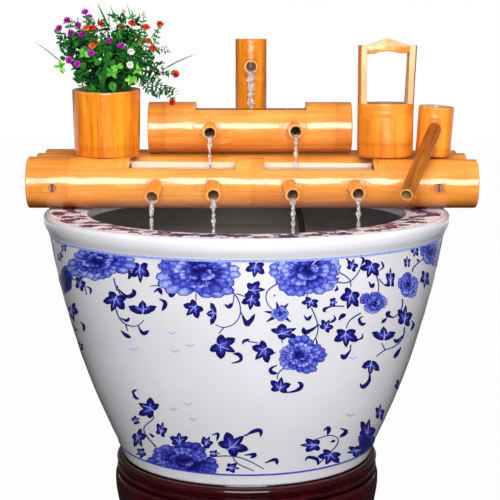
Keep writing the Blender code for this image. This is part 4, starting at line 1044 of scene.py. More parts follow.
settle(bowl, Matrix.Translation((BOWL_X, 0, BOWL_FOOT_Z)))
wall_heights = np.array([p.z for p in reversed(side_line)]) + BOWL_FOOT_Z
wall_radii = np.array([p.x for p in reversed(side_line)])


def radius_at(height):
    """The bowl's outer radius at a height, or at each of many."""
    return np.interp(height, wall_heights, wall_radii)


for finish in (GLAZE, PAINTED_SHADE_GLAZE, PINK_GROUND):
    bowl.data.materials.append(finish)
PRINT_FLOOR, PRINT_INNER, PRINT_OUTER = 0.3287, 0.2150, 0.2655
GREY_LOW, GREY_HIGH = 0.010, 0.3165
for face in bowl.data.polygons:
    arm = math.hypot(face.center.x - BOWL_X, face.center.y)
    rise = face.center.z - BOWL_FOOT_Z
    if rise > PRINT_FLOOR and PRINT_INNER < arm < PRINT_OUTER:
        face.material_index = 2
    elif GREY_LOW < rise < GREY_HIGH and arm < radius_at(face.center.z) - 0.006:
        face.material_index = 1
finish_piece(bowl, "bowl", "porcelain", "bowl")
print("bowl faces:", len(bowl.data.polygons))

# %% [markdown]
# ## Painted flowers
#
# Peonies, leaves and vines are painted in cobalt under a clear glaze. An image could be wrapped
# round the bowl, but drawn shapes stay sharp at any distance. Each shape is drawn flat, as the
# camera sees it, and is then laid on the curve of the bowl as a slab a fraction of a millimetre
# thick, with a value on each corner that says how dark the paint is there. Underneath, each slab
# goes a little into the glaze, so that it is closed and nothing shows below its edge.
# %% From the picture to the bowl
camera_turn = np.array(camera.rotation_euler.to_matrix())
BAND_Z = RIM_Z - 0.0275
LOWER_LINE_Z = BOWL_FOOT_Z + 0.017
SUNK = -0.0003


def onto_bowl(points):
    """Angle round the bowl, zero in front, and height of places in the picture."""
    side = (points[:, 0] - IMAGE_SIDE / 2) / FOCAL_PIXELS
    up = (IMAGE_SIDE / 2 - points[:, 1]) / FOCAL_PIXELS
    rays = np.stack([side, up, -np.ones(len(points))], 1) @ camera_turn.T
    eye = np.array(EYE) - (BOWL_X, 0, 0)
    square = rays[:, 0] ** 2 + rays[:, 1] ** 2
    half = eye[0] * rays[:, 0] + eye[1] * rays[:, 1]
    radius = np.full(len(points), 0.25)
    for _ in range(30):
        root = np.sqrt(np.maximum(half**2 - square * (eye[0] ** 2 + eye[1] ** 2 - radius**2), 0))
        place = eye + rays * ((-half - root) / square)[:, None]
        radius = (radius + radius_at(place[:, 2])) / 2
    return np.arctan2(place[:, 0], -place[:, 1]), place[:, 2]


def disc_shape(outline, middle, shares, paints, lift):
    """A flat shape of shrinking rings round its middle, closed below."""
    outline, middle = np.array(outline, float), np.array(middle, float)
    count, rings = len(outline), len(shares)
    points = [middle + (outline - middle) * share for share in shares]
    points = np.concatenate([*points, [middle], outline, [middle]])
    lifts = np.full(len(points), lift)
    lifts[:count] -= 0.00005
    lifts[rings * count + 1 :] = SUNK
    values = np.concatenate([np.broadcast_to(paint, count) for paint in paints[:-1]] + [[paints[-1]]])
    values = np.concatenate([values, np.full(count + 1, paints[-1])])
    below = rings * count + 1
    faces = []
    for i in range(count):
        j = (i + 1) % count
        for ring in range(rings - 1):
            here, inner = ring * count, (ring + 1) * count
            faces.append((here + i, here + j, inner + j, inner + i))
        faces.append(((rings - 1) * count + i, (rings - 1) * count + j, rings * count))
        faces.append((below + i, below + j, j, i))
        faces.append((below + j, below + i, below + count))
    return points, lifts, values, faces


def line_shape(points, width, widths, paint, lift, steps=4, rounds=0):
    """A brush stroke through points, with its width at even shares of its length."""
    line = np.array([tuple(p)[:2] for p in smooth_line([(x, y, 0) for x, y in points], steps)])
    for _ in range(rounds):
        line[1:-1] = (line[:-2] + 2 * line[1:-1] + line[2:]) / 4
    way = np.gradient(line, axis=0)
    way /= np.maximum(np.linalg.norm(way, axis=1), 1e-9)[:, None]
    across = np.stack([-way[:, 1], way[:, 0]], 1)
    share = np.linspace(0, 1, len(line))
    half = (width / 2 * np.interp(share, np.linspace(0, 1, len(widths)), widths))[:, None]
    count = len(line)
    corners = np.concatenate([line + across * half, line - across * half] * 2)
    lifts = np.repeat([lift, SUNK], 2 * count)
    first = (0, 2 * count, 3 * count, count)
    faces = [first, (count - 1, 2 * count - 1, 4 * count - 1, 3 * count - 1)]
    for i in range(count - 1):
        a, b, c, d = i, count + i, 3 * count + i, 2 * count + i
        faces += [(p, p + 1, q + 1, q) for p, q in ((a, b), (b, c), (c, d), (d, a))]
    return corners, lifts, np.full(4 * count, paint), faces


def built(name, points, faces, finish, paint=None):
    """A closed piece from its corners and faces, with a paint value for each corner."""
    mesh = bpy.data.meshes.new(name)
    mesh.from_pydata(points, [], faces)
    if paint is not None:
        keep_values(mesh, "paint", paint)
    mesh.materials.append(finish)
    piece = bpy.data.objects.new(name, mesh)
    bpy.context.collection.objects.link(piece)
    edited(piece, turn_outward)
    return piece


def painted_mesh(name, shapes, place, finish):
    """One piece from many shapes, each corner put in its place by a function of point and lift."""
    points, lifts, values = (np.concatenate([shape[i] for shape in shapes]) for i in range(3))
    faces, start = [], 0
    for shape in shapes:
        faces += [tuple(start + corner for corner in face) for face in shape[3]]
        start += len(shape[0])
    piece = built(name, place(points, lifts).tolist(), faces, finish, values)
    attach(piece, "bowl")


# %% [markdown]
# Cobalt goes on with a brush: a full one leaves it nearly black, a thin wash leaves it pale. Every
# tone could be a finish of its own, but one ramp that reads the value on each corner gives smooth
# steps, and noise adds the uneven load of the brush. The dull print on the rim is made the same way.
# %% Cobalt paint
BRUSH_LOAD = 0.13


def painted_finish(name, *stops, glossy=False):
    """Paint whose colour follows the value on each corner, with a brush's uneven load."""
    finish, tree, shader = new_finish(name)
    brush = noise(tree, object_place(tree), 320, 4, 0.65)
    uneven = rescale(tree, brush, 0.3, 0.7, -BRUSH_LOAD, BRUSH_LOAD)
    loaded = calculate(tree, "ADD", attribute(tree, "paint"), uneven)
    tree.links.new(ramp(tree, loaded, *stops), shader.inputs["Base Color"])
    shader.inputs["Roughness"].default_value = 0.25 if glossy else 0.6
    shader.inputs["Specular IOR Level"].default_value = 0.5 if glossy else 0.2
    shader.inputs["Coat Weight"].default_value = 0.6 if glossy else 0.0
    return finish


COBALT = painted_finish(
    "cobalt paint", (0.0, (0.006, 0.004, 0.11)), (0.30, (0.022, 0.024, 0.34)),
    (0.60, (0.090, 0.120, 0.66)), (1.0, (0.56, 0.66, 0.97)), glossy=True,
)
PLUM = painted_finish(
    "plum paint", (0.0, (0.040, 0.022, 0.14)), (0.35, (0.10, 0.035, 0.065)),
    (0.7, (0.24, 0.10, 0.13)), (1.0, (0.56, 0.34, 0.34)),
)
print("paints:", COBALT.name, PLUM.name)

# %% [markdown]
# A peony has many layers of lobed petals, and the painter leaves each tip pale against the dark
# root of the petal above it. So each lobe is a disc of four rings of tone, and rounds of lobes are
# laid over each other from the outside in, each with a little chance in its size and its turn.
# %% Peonies
LOBE = (
    (0, 0.02), (0.42, 0.36), (0.82, 0.62), (1.0, 0.80), (0.74, 0.95), (0, 1.02), (-0.74, 0.95),
    (-1.0, 0.80), (-0.82, 0.62), (-0.42, 0.36),
)
LOBE_HEART = 0.80
LOBE_TURN = 0.27
PETAL_ROUNDS = (
    (5, 4, 1.0, 0.00020), (6, 4, 0.76, 0.00030), (6, 3, 0.58, 0.00040), (5, 3, 0.42, 0.00050),
    (5, 2, 0.28, 0.00058),
)
hand = random.Random(11)
painted = []


def petal(middle, size, angle, lobes, length, lift, shade):
    """One petal: a fan of lobes, each dark at its root and its edge and pale near its tip."""
    half = (lobes - 1) / 2
    for k in sorted(range(lobes), key=lambda k: -abs(k - half)):
        lean = angle + (k - half) * LOBE_TURN
        across = np.array((math.cos(lean), -math.sin(lean)))
        along = np.array((math.sin(lean), math.cos(lean)))
        grown = length * (1 - 0.045 * (k - half) ** 2) * hand.uniform(0.95, 1.04)
        wide = (0.05 + length * 0.135) * hand.uniform(0.9, 1.1)

        def laid(u, v):
            return (u * wide * across + v * grown * along) * size + middle

        rows = []
        for share, low, rise in ((0.86, -0.06, 0.72), (0.46, 0.00, 0.92)):
            height = np.array([LOBE_HEART + (v - LOBE_HEART) * share for _, v in LOBE])
            rows.append(low + rise * height**2.2 + shade)
        outline = [laid(u, v) for u, v in LOBE]
        lift += 0.000003
        tones = (-0.10, *rows, 0.74 + shade)
        painted.append(disc_shape(outline, laid(0, LOBE_HEART), (1, 0.86, 0.46), tones, lift))


def peony(x, y, half_width, half_height, shade=0.0):
    """A full flower: rounds of petals, each smaller than the one below it."""
    middle, size = np.array((x, y)), np.array((half_width, half_height))
    for count, lobes, length, lift in PETAL_ROUNDS:
        first = hand.uniform(0, 6)
        for i in range(count):
            angle = first + 2 * math.pi * i / count + hand.uniform(-0.25, 0.25)
            grown = length * hand.uniform(0.84, 1.16)
            heart = middle + size * (hand.uniform(-0.08, 0.08), hand.uniform(-0.12, 0.04))
            tone = shade + hand.uniform(-0.18, 0.16)
            petal(heart, size, angle, lobes, grown, lift + 0.000020 * i, tone)


PEONIES = (
    (97, 262, 35, 23), (199.5, 273, 46, 28), (306, 271, 40, 27), (431, 253, 11, 16),
    (298.6, 356.5, 25, 18), (373.6, 303.7, 13, 12), (407.7, 285.6, 10, 14), (279.8, 313.7, 9, 8),
)
DARK_PEONIES = ((66, 280, 7, 14), (367, 443, 9, 12))
BUD = np.array((279.8, 313.7))
SEPAL_TIPS = ((276.2, 301.5), (288.5, 303), (264.2, 311.5), (266.0, 322), (291, 322))
for flower in PEONIES:
    peony(*flower)
for flower in DARK_PEONIES:
    peony(*flower, shade=-0.35)
peony(183, 462, 37, 21, shade=-0.12)
for tip in SEPAL_TIPS:
    sepal = [BUD, (BUD + tip) / 2, tip]
    painted.append(line_shape(sepal, 4.5, (1, 0.8, 0.1), 0.05, 0.00016))
print("lobes of petals:", len(painted))

# %% [markdown]
# The leaves are lobed like ivy and grape, dark with pale veins. One half is drawn and mirrored, so
# that both kinds are short lists. Their places, sizes and turns were read from the picture.
# %% Leaves
LEAF_HALF = (
    (0, 1.14), (0.13, 0.94), (0.24, 0.70), (0.30, 0.46), (0.48, 0.58), (0.76, 0.62), (1.06, 0.50),
    (1.00, 0.26), (0.88, 0.02), (0.70, -0.14), (0.82, -0.32), (0.84, -0.56), (0.60, -0.66),
    (0.36, -0.66), (0.12, -0.54),
)
TREFOIL_HALF = (
    (0, 1), (0.26, 0.60), (0.30, 0.25), (0.62, 0.44), (1.05, 0.34), (0.86, -0.20), (0.45, -0.55),
    (0.12, -0.62),
)
LEAVES = (
    (140.4, 270.2, 16, 21, 180), (115.7, 300.3, 20, 20, 200), (194, 308.3, 18, 17, 225),
    (222.1, 345.8, 25, 21, 120), (80.2, 284, 9, 16, 20), (72, 311, 10, 18, 160),
    (80, 346, 6, 9, 200), (64, 248, 5, 9, 0), (60, 256, 5, 10, 160), (255.7, 267.5, 17, 17, 190),
    (253.7, 289.6, 19, 15, 90), (251.7, 300, 17, 17, 190), (310.6, 302.3, 15, 12, 200),
    (352, 266, 10, 13, 20), (370.9, 267.5, 17, 18, 200), (390.3, 279.5, 8, 20, 0),
    (350.8, 297, 17, 21, 200), (332.7, 302.3, 8, 8, 90), (326, 326.4, 12, 13, 30),
    (283.2, 332.4, 25, 14, 60), (263.7, 351, 20, 20, 225), (346, 335.8, 21, 19, 180),
    (404.4, 317.7, 13, 21, 10), (279.8, 386.7, 18, 16, 10), (407, 262.8, 6, 12, 0),
    (415, 250.7, 7, 11, 200), (425, 278, 8, 18, 190), (399, 386, 7, 14, 200),
    (149.3, 408.7, 20, 18, 300), (135.5, 420.5, 8, 8, 60), (138.4, 437.3, 12, 18, 150),
    (161.2, 430.4, 10, 15, 20), (179, 440.3, 16, 13, 0), (141.8, 452.6, 10, 9, 250),
    (232.3, 445.2, 27, 22, 45), (206.6, 442.3, 11, 11, 30), (213.6, 453.5, 11, 6, 90),
    (231.4, 467.6, 14, 9, 100), (312.4, 445.2, 21, 12, 270), (330.2, 456, 20, 15, 200),
    (366.8, 431.4, 14, 22, 20), (356, 451, 16, 10, 250), (379.6, 413.6, 8, 16, 10),
)
TREFOILS = (
    (142.5, 309, 25, 16, 0), (212.8, 313.7, 12, 20, 270), (383.6, 335, 21, 16, 0),
    (371, 366, 16, 17, 190),
)


def both_sides(half, *foot):
    """A whole outline from its right half, with a point at the foot if one is given."""
    return [*half, *foot, *((-u, v) for u, v in reversed(half[1:]))]


def leaf(half, x, y, width, height, degrees):
    """A lobed leaf with a pale vein; degrees turn its tip clockwise from straight up."""
    angle = math.radians(degrees)
    across = np.array((math.cos(angle), math.sin(angle)))
    along = np.array((math.sin(angle), -math.cos(angle)))
    size, middle = np.array((width, height)) * 0.55, np.array((x, y))

    def laid(u, v):
        return (u * across + v * along) * size + middle

    root = half[-1][1]
    outline = [laid(u, v) for u, v in both_sides(half, (0, root + 0.08))]
    rings = (1, 0.76, 0.40), (-0.15, -0.02, 0.34, 0.50)
    painted.append(disc_shape(outline, middle, *rings, 0.00024))
    for vein, wide in (
        (((0, root), (0.09, 0), (0, 0.70)), 0.95), (((0, -0.20), (0.26, 0.02), (0.56, 0.20)), 0.6),
        (((0, -0.20), (-0.24, 0.02), (-0.52, 0.20)), 0.5),
    ):
        line = [laid(u, v) for u, v in vein]
        painted.append(line_shape(line, wide, (1, 0.8, 0.2), 0.90, 0.00030, 3))


for shape in LEAVES:
    leaf(LEAF_HALF, *shape)
for shape in TREFOILS:
    leaf(TREFOIL_HALF, *shape)
print("shapes with the leaves:", len(painted))

# %% [markdown]
# The curled hooks and the vines were measured on three enlarged views of the picture. Each view has
# its corner in the picture and its scale, so its places turn back into places in the picture.
# %% Hooks and vines
CLOSE_LEFT = (40, 232, 7.467)
CLOSE_RIGHT = (245, 232, 7.467)
CLOSE_LOW = (90, 380, 5.058)
HOOKS = {
    CLOSE_LEFT: (
        ((640, 290), (675, 310), (660, 355), 22),
        ((590, 430), (650, 485), (705, 460), (690, 425), 28),
        ((890, 500), (940, 530), (910, 590), 26), ((850, 450), (890, 425), (910, 470), 24),
        ((960, 440), (975, 480), (1015, 450), 22), ((1380, 540), (1410, 560), (1440, 530), 26),
        ((1510, 620), (1545, 690), (1568, 650), 35), ((600, 640), (650, 665), (665, 635), 18),
        ((605, 735), (640, 770), (680, 790), 22), ((735, 705), (770, 760), (815, 735), 24),
        ((1430, 980), (1500, 960), (1490, 915), (1440, 910), 24),
        ((1515, 840), (1520, 815), (1568, 800), 18), ((690, 1190), (705, 1230), (740, 1250), 16),
        ((340, 405), (380, 425), (375, 465), 14), ((300, 670), (330, 700), (325, 745), 16),
        ((240, 700), (280, 740), 14), ((290, 820), (320, 880), 18),
    ),
    CLOSE_RIGHT: (
        ((0, 660), (30, 680), (75, 610), 26), ((215, 470), (225, 480), 12),
        ((440, 620), (465, 655), (500, 620), 20), ((540, 700), (450, 755), (435, 710), 30),
        ((660, 620), (675, 650), (630, 680), 16), ((530, 790), (545, 860), (565, 840), 18),
        ((640, 555), (590, 575), (600, 600), 20), ((645, 540), (650, 505), (680, 500), 16),
        ((665, 370), (705, 340), 12), ((680, 400), (690, 425), (665, 440), 16),
        ((755, 190), (770, 215), 12), ((860, 190), (885, 200), (880, 240), 16),
        ((1000, 290), (1035, 260), (1015, 215), 12), ((925, 370), (945, 410), (965, 380), 22),
        ((1040, 400), (1075, 400), (1100, 360), 16), ((700, 660), (720, 630), (755, 615), 26),
        ((880, 630), (850, 650), (870, 690), (905, 680), 20),
        ((870, 760), (880, 790), (820, 815), 8), ((790, 880), (740, 940), (720, 910), 28),
        ((1110, 640), (1060, 620), (1085, 590), 26), ((1060, 640), (1020, 680), 20),
        ((1240, 660), (1260, 690), (1235, 740), 14), ((1180, 770), (1130, 820), (1115, 795), 20),
        ((1165, 860), (1110, 945), 22), ((930, 1060), (930, 1110), (880, 1160), (860, 1130), 24),
        ((240, 995), (190, 1020), (200, 1050), (245, 1055), 24),
        ((330, 1200), (400, 1180), (425, 1140), (390, 1120), 24), ((1280, 200), (1300, 220), 14),
    ),
    CLOSE_LOW: (
        ((240, 95), (215, 60), (240, 50), 10), ((215, 190), (240, 225), 14),
        ((300, 270), (325, 290), 10), ((535, 350), (530, 370), (575, 365), (570, 400), 16),
        ((565, 300), (590, 340), (610, 310), 18), ((615, 280), (650, 270), (640, 310), 12),
        ((780, 380), (840, 375), (810, 395), 16), ((885, 420), (940, 400), (945, 430), 16),
        ((785, 285), (820, 260), (865, 255), (860, 290), 16),
        ((1180, 255), (1210, 240), (1200, 280), 16), ((1265, 245), (1300, 260), (1260, 290), 16),
        ((1215, 315), (1240, 305), 10), ((1090, 410), (1100, 390), (1150, 400), (1150, 430), 14),
    ),
}
VINES = {
    CLOSE_LEFT: (
        ((550, 345), (575, 440)), ((575, 400), (600, 470), (650, 490), (710, 450)),
        ((565, 570), (590, 640), (640, 690), (720, 705), (775, 660)), ((640, 690), (655, 740)),
        ((735, 700), (750, 740)), ((1010, 350), (940, 390), (820, 405)), ((960, 380), (960, 440)),
        ((1165, 460), (1165, 510)),
        ((1400, 420), (1470, 480), (1500, 590), (1460, 680), (1370, 715), (1310, 690)),
        ((1370, 715), (1335, 760)), ((1450, 470), (1440, 540)), ((1470, 460), (1540, 485)),
        ((1500, 600), (1520, 640)), ((690, 295), (640, 280)),
        ((330, 290), (300, 340), (330, 400), (350, 470)), ((300, 340), (250, 360), (240, 330)),
    ),
    CLOSE_RIGHT: (
        ((250, 380), (165, 440), (160, 520), (200, 575)), ((500, 430), (460, 470), (470, 500)),
        ((495, 565), (545, 690), (530, 790), (460, 870)), ((545, 690), (500, 740), (450, 755)),
        ((545, 690), (590, 710)), ((640, 355), (760, 385), (850, 300), (880, 200)),
        ((700, 300), (780, 350), (790, 410)), ((740, 555), (640, 555), (590, 590)),
        ((980, 320), (1000, 400), (990, 460)), ((1000, 350), (1040, 395), (1080, 380)),
        ((865, 605), (780, 660), (755, 720)), ((790, 840), (780, 900), (745, 925)),
        ((820, 815), (870, 790), (880, 760)), ((1175, 500), (1170, 580), (1110, 640), (1060, 620)),
        ((1250, 300), (1260, 260), (1340, 190)),
        ((1190, 710), (1180, 790), (1110, 860), (1045, 880), (980, 930)),
        ((1045, 880), (1020, 830)), ((930, 1060), (920, 1110), (880, 1145)),
        ((300, 1010), (250, 1050), (240, 1100)), ((310, 1200), (380, 1180), (420, 1140)),
        ((270, 790), (280, 830)), ((150, 930), (230, 900)), ((20, 815), (100, 830)),
    ),
    CLOSE_LOW: (
        ((335, 340), (265, 250), (320, 200), (320, 180)),
        ((560, 400), (640, 385), (760, 390), (880, 450)), ((720, 375), (740, 420), (830, 460)),
        ((780, 280), (850, 260)),
        ((1150, 430), (1180, 400), (1250, 330), (1250, 290), (1200, 280), (1120, 310)),
    ),
}
BIRDS = (
    (172, 334.5), (190, 347), (133.7, 350.5), (175.3, 352.5), (174, 410.6), (187.9, 405.7),
    (192.8, 420.5), (350, 416.6), (352.8, 359.2),
)
HOOK_FULLNESS = 1.35
VINE_WIDTH = 1.35


def in_picture(view, places):
    """Places in an enlarged view, as places in the picture."""
    return [(view[0] + x / view[2], view[1] + y / view[2]) for x, y in places]


for view_of, hooks in HOOKS.items():
    for *places, width in hooks:
        widths = (0.25, 0.45, 0.8, 1, 0.85, 0.1)
        full = HOOK_FULLNESS * width / view_of[2]
        line = in_picture(view_of, places)
        painted.append(line_shape(line, full, widths, 0.02, 0.00020, 6, 4))
for view_of, vines in VINES.items():
    for places in vines:
        line = in_picture(view_of, places)
        painted.append(line_shape(line, VINE_WIDTH, (1, 0.7), 0.16, 0.00016, 5, 3))
for x, y in BIRDS:
    for side in (-1, 1):
        wing = [(x, y), (x + 2.5 * side, y - 2.2), (x + 5 * side, y - 0.6)]
        painted.append(line_shape(wing, 1.3, (1, 0.8, 0.2), 0.85, 0.00016))
print("shapes in all:", len(painted))

# %% [markdown]
# The flat shapes now go round the bowl: once in front, once turned half round for the back, and
# the middle part again at the two sides, which the camera doesn't see well. Paint that would cross
# one of the two lines round the bowl is pressed together there instead of being cut.
# %% Paint on the bowl
FILL_WIDTH = 0.24
PRESSED = 0.03


def wrapped(turn):
    """A function that lays picture places on the bowl, turned round it by an angle."""

    def place(points, lifts):
        angle, height = onto_bowl(points)
        within = np.clip(height, LOWER_LINE_Z, BAND_Z)
        height = within + (height - within) * PRESSED
        radius, round_it = radius_at(height) + lifts, angle + turn
        return np.stack([BOWL_X + radius * np.sin(round_it), -radius * np.cos(round_it), height], 1)

    return place


def faces_camera(shape):
    """Whether the middle of a shape lies on the bowl's front."""
    return abs(onto_bowl(shape[0].mean(axis=0)[None])[0][0]) < FILL_WIDTH


painted_mesh("painted_front", painted, wrapped(0.0), COBALT)
painted_mesh("painted_back", painted, wrapped(math.pi), COBALT)
facing = [shape for shape in painted if faces_camera(shape)]
painted_mesh("painted_left", facing, wrapped(-math.pi / 2), COBALT)
painted_mesh("painted_right", facing, wrapped(math.pi / 2), COBALT)
print("shapes at each side:", len(facing))

# %% [markdown]
# A potter paints the lines while the bowl turns, so they are turned here too: each is a flat loop,
# half of it in the glaze, spun round the bowl. Its paint value is the same everywhere.
# %% Lines round the bowl
LINE_LIFT = 0.00074


def painted_ring(name, loop, z, paint):
    """A painted line round the bowl, spun from a closed loop of (radius, height)."""
    place = (BOWL_X, 0, z)
    ring = turned_piece(name, [*loop, loop[0]], 224, place, COBALT, "bowl", "porcelain")
    keep_values(ring.data, "paint", [paint] * len(ring.data.vertices))


for name, height, tall, paint in (
    ("upper_line", BAND_Z + 0.0010, 0.0030, 0.84),
    ("lower_line", LOWER_LINE_Z - 0.0004, 0.0024, 0.44),
):
    ends = [(float(radius_at(z)), z) for z in (height + tall / 2, height, height - tall / 2)]
    outside = [(r + LINE_LIFT, z) for r, z in ends]
    painted_ring(name, outside + [(r + SUNK, z) for r, z in reversed(ends)], 0, paint)

# %% [markdown]
# Dull plum leaves with curled stalks are printed all over the flat rim, and a thin blue line runs
# along its edge. The culms hide most of the print, so the leaves are scattered by chance, evenly
# round the rim. They are drawn in arc length and radius, and then laid on the rim.
# %% Print on the rim
RIM_SCALE = 0.24
RIM_LEAVES = 150
RIM_TONES = (-0.05, 0.12, 0.3, 0.35, 0.5, 0.65)
RIM_STALK = ((0, -0.6), (0.7, -1.5), (1.8, -1.6))
rim_shapes = []
for index in range(RIM_LEAVES):
    arc = RIM_SCALE * (2 * math.pi * index / RIM_LEAVES + hand.uniform(-0.03, 0.03))
    middle_place = np.array((arc, hand.uniform(0.2230, 0.2570)))
    grown = hand.uniform(0.008, 0.0145)
    turn = hand.uniform(0, 2 * math.pi)
    tone = hand.choice(RIM_TONES)
    across = np.array((math.cos(turn), math.sin(turn))) * grown
    along = np.array((-math.sin(turn), math.cos(turn))) * grown
    outline = [middle_place + u * 0.7 * across + v * along for u, v in both_sides(LEAF_HALF)]
    rings = (1, 0.6), (tone, tone + 0.1, tone + 0.35)
    rim_shapes.append(disc_shape(outline, middle_place, *rings, 0.00014 + 0.000002 * index))
    stalk = [middle_place + u * across + v * along for u, v in RIM_STALK]
    rim_shapes.append(line_shape(stalk, 0.0030, (0.5, 1, 0.2), tone, 0.00012))


def on_rim(points, lifts):
    """Lay arc length and radius on the flat rim and its slope to the inner lip."""
    angle, radius = points[:, 0] / RIM_SCALE, np.clip(points[:, 1], 0.2170, 0.2625)
    inward = np.clip((RIM_FLAT_INNER - radius) / (RIM_FLAT_INNER - RIM_SLOPE_END), 0, 1)
    height = RIM_Z - RIM_DROP * inward + lifts
    return np.stack([BOWL_X + radius * np.sin(angle), -radius * np.cos(angle), height], 1)


painted_mesh("painted_rim", rim_shapes, on_rim, PLUM)
EDGE_INNER, EDGE_OUTER, EDGE_LIFT = 0.2638, 0.2650, 0.00015
edge_loop = [(EDGE_INNER, EDGE_LIFT), (EDGE_OUTER, EDGE_LIFT), (EDGE_OUTER, SUNK), (EDGE_INNER, SUNK)]
painted_ring("rim_line", edge_loop, RIM_Z, 0.7)
print("shapes on the rim:", len(rim_shapes))

# %% [markdown]
# ## Wooden stand
#
# The stand is turned from dark red wood: a ring under the bowl, an apron with low arches, and five
# bowed legs on a base ring. A turner cuts one moulded section and lets it run round, and so does
# this cell. Only the upper ring and the apron are in the picture.
# %% Stand rings
TOP_RING_DEPTH = 0.025
APRON_DEPTH = 0.045
PAD_HEIGHT = 0.008
BASE_HEIGHT = 0.018


def round_points(middle, radius, start, end, count):
    """Points (radius, height) on an arc, with its angles in degrees."""
    turns = [math.radians(start + (end - start) * i / (count - 1)) for i in range(count)]
    return [(middle[0] + radius * math.cos(a), middle[1] + radius * math.sin(a)) for a in turns]


TOP_MOULDING = [
    (0.150, -TOP_RING_DEPTH), (0.150, -0.001), (0.151, 0), (0.1640, 0), (0.1648, -0.001),
    (0.1652, -0.0050), *round_points((0.1727, -0.0070), 0.0060, 165, -50, 12), (0.1742, -0.0134),
    (0.1738, -0.0154), *round_points((0.1745, -0.0196), 0.0040, 60, -60, 6),
    (0.1740, -TOP_RING_DEPTH), (0.150, -TOP_RING_DEPTH),
]
BASE_MOULDING = [
    (0.132, 0.001), (0.132, 0.017), (0.133, BASE_HEIGHT),
    *round_points((0.1725, 0.0125), 0.0055, 90, 0, 6),
    *round_points((0.1735, 0.0045), 0.0045, 0, -90, 6), (0.133, 0), (0.132, 0.001),
]
for name, profile, z, replaced in (
    ("top_moulding", TOP_MOULDING, STAND_TOP, "stand_top_ring"),
    ("base_moulding", BASE_MOULDING, PAD_HEIGHT + GAP, "stand_base_ring"),
):
    rest = ROSEWOOD, "stand", "rosewood", replaced
    turned_piece(name, profile, 192, (BOWL_X, 0, z), *rest, angle=40)
print("rings of the stand: 2")

# %% [markdown]
# The apron is turned like the rings, and an arch is then sawn between each two legs. Each arch is a
# round cutter that points outward, set so low that only its top cuts into the apron.
# %% Apron with its arches
LEGS = 5
ARCH_RADIUS, ARCH_RISE = 0.045, 0.018
apron_top = STAND_TOP - TOP_RING_DEPTH - GAP
arch_z = apron_top - APRON_DEPTH + ARCH_RISE - ARCH_RADIUS
apron_outer = smooth_line(
    [
        (0.1785, 0, 0), (0.1805, 0, -0.0045), (0.1808, 0, -0.012), (0.1800, 0, -0.0245),
        (0.1765, 0, -APRON_DEPTH),
    ],
    4,
)
apron_profile = [(0.157, -APRON_DEPTH), (0.157, 0), *((p.x, p.z) for p in apron_outer)]
apron = lathe("skirt", [*apron_profile, apron_profile[0]], 192)
settle(apron, Matrix.Translation((BOWL_X, 0, apron_top)))
for index in range(LEGS):
    angle = -math.pi / 2 + 2 * math.pi * (index + 0.5) / LEGS
    outward = Vector((math.cos(angle), math.sin(angle), 0))
    centre = Vector((BOWL_X, 0, arch_z))
    carve(apron, drum("arch", ARCH_RADIUS, centre + outward * 0.13, centre + outward * 0.2, 64))
apron.data.materials.append(ROSEWOOD)
finish_piece(apron, "stand", "rosewood", "stand_apron")
print("apron faces:", len(apron.data.polygons))

# %% [markdown]
# A bowed leg is sawn from a board along a curved line, and its edges are eased. It is the same job
# as the bucket's bar, so the same helper does it. A small round pad lies under each leg.
# %% Legs and pads
LEG_WIDTH = 0.024
LEG_OUTER = 0.167
PAD_ARM = 0.155
PAD_PROFILE = [
    (0, 0), (0.0120, 0), (0.0130, 0.001), (0.0130, 0.0072), (0.0122, PAD_HEIGHT), (0, PAD_HEIGHT),
]
# distance from the leg's outer line and share of its height, down the outside and up the inside
LEG_OUTSIDE = ((0, 1.0), (0.004, 0.80), (0.001, 0.55), (-0.004, 0.32), (0.001, 0.12), (0.004, 0))
LEG_INSIDE = ((-0.024, 0), (-0.023, 0.20), (-0.020, 0.50), (-0.020, 0.80), (-0.022, 1.0))
leg_bottom = PAD_HEIGHT + 2 * GAP + BASE_HEIGHT
leg_height = apron_top - APRON_DEPTH - GAP - leg_bottom
leg_outline = []
for side in (LEG_OUTSIDE, LEG_INSIDE):
    line = smooth_line([(LEG_OUTER + x, 0, share * leg_height) for x, share in side], 4)
    leg_outline += [(p.x, p.z) for p in line]
for number in range(1, LEGS + 1):
    angle = -math.pi / 2 + 2 * math.pi * (number - 1) / LEGS
    leg = slab(f"bowed_leg_{number}", leg_outline, LEG_WIDTH, 0.002, clamp=True)
    settle(leg, Matrix.Translation((0, -LEG_WIDTH / 2, 0)))
    settle(leg, Matrix.Translation((BOWL_X, 0, leg_bottom)) @ Matrix.Rotation(angle, 4, "Z"))
    leg.data.materials.append(ROSEWOOD)
    finish_piece(leg, "stand", "rosewood", f"stand_leg_{number}")
    place = (BOWL_X + PAD_ARM * math.cos(angle), PAD_ARM * math.sin(angle), 0)
    rest = ROSEWOOD, "stand", "rosewood", f"stand_pad_{number}"
    turned_piece(f"floor_pad_{number}", PAD_PROFILE, 48, place, *rest)
print("legs:", LEGS)

# %% [markdown]
# ## Water
#
# Water runs from each spout as a thin rope: it clings to the lower lip, draws together and twists
# as it falls. A tube whose section is an ellipse that turns and swells along the fall gives the
# glassy lumps. The still water in the bowl is a thin slab, because only its surface is seen.
# %% Water finishes
def water_finish(name, colour, clearness, roughness, bend=1.33):
    """Water: partly clear, partly a flat colour that stands in for its glints and reflections as
    painted light, with small ripples.
    """
    finish, tree, shader = new_finish(name)
    ripples = noise(tree, object_place(tree), 60, 2, 0.5)
    troughs = tuple(c * 0.92 for c in colour)
    tree.links.new(ramp(tree, ripples, (0.3, troughs), (0.7, colour)), shader.inputs["Base Color"])
    bumped(tree, shader, ripples, 0.15, 0.001)
    shader.inputs["Roughness"].default_value = roughness
    shader.inputs["IOR"].default_value = bend
    shader.inputs["Transmission Weight"].default_value = clearness
    return finish


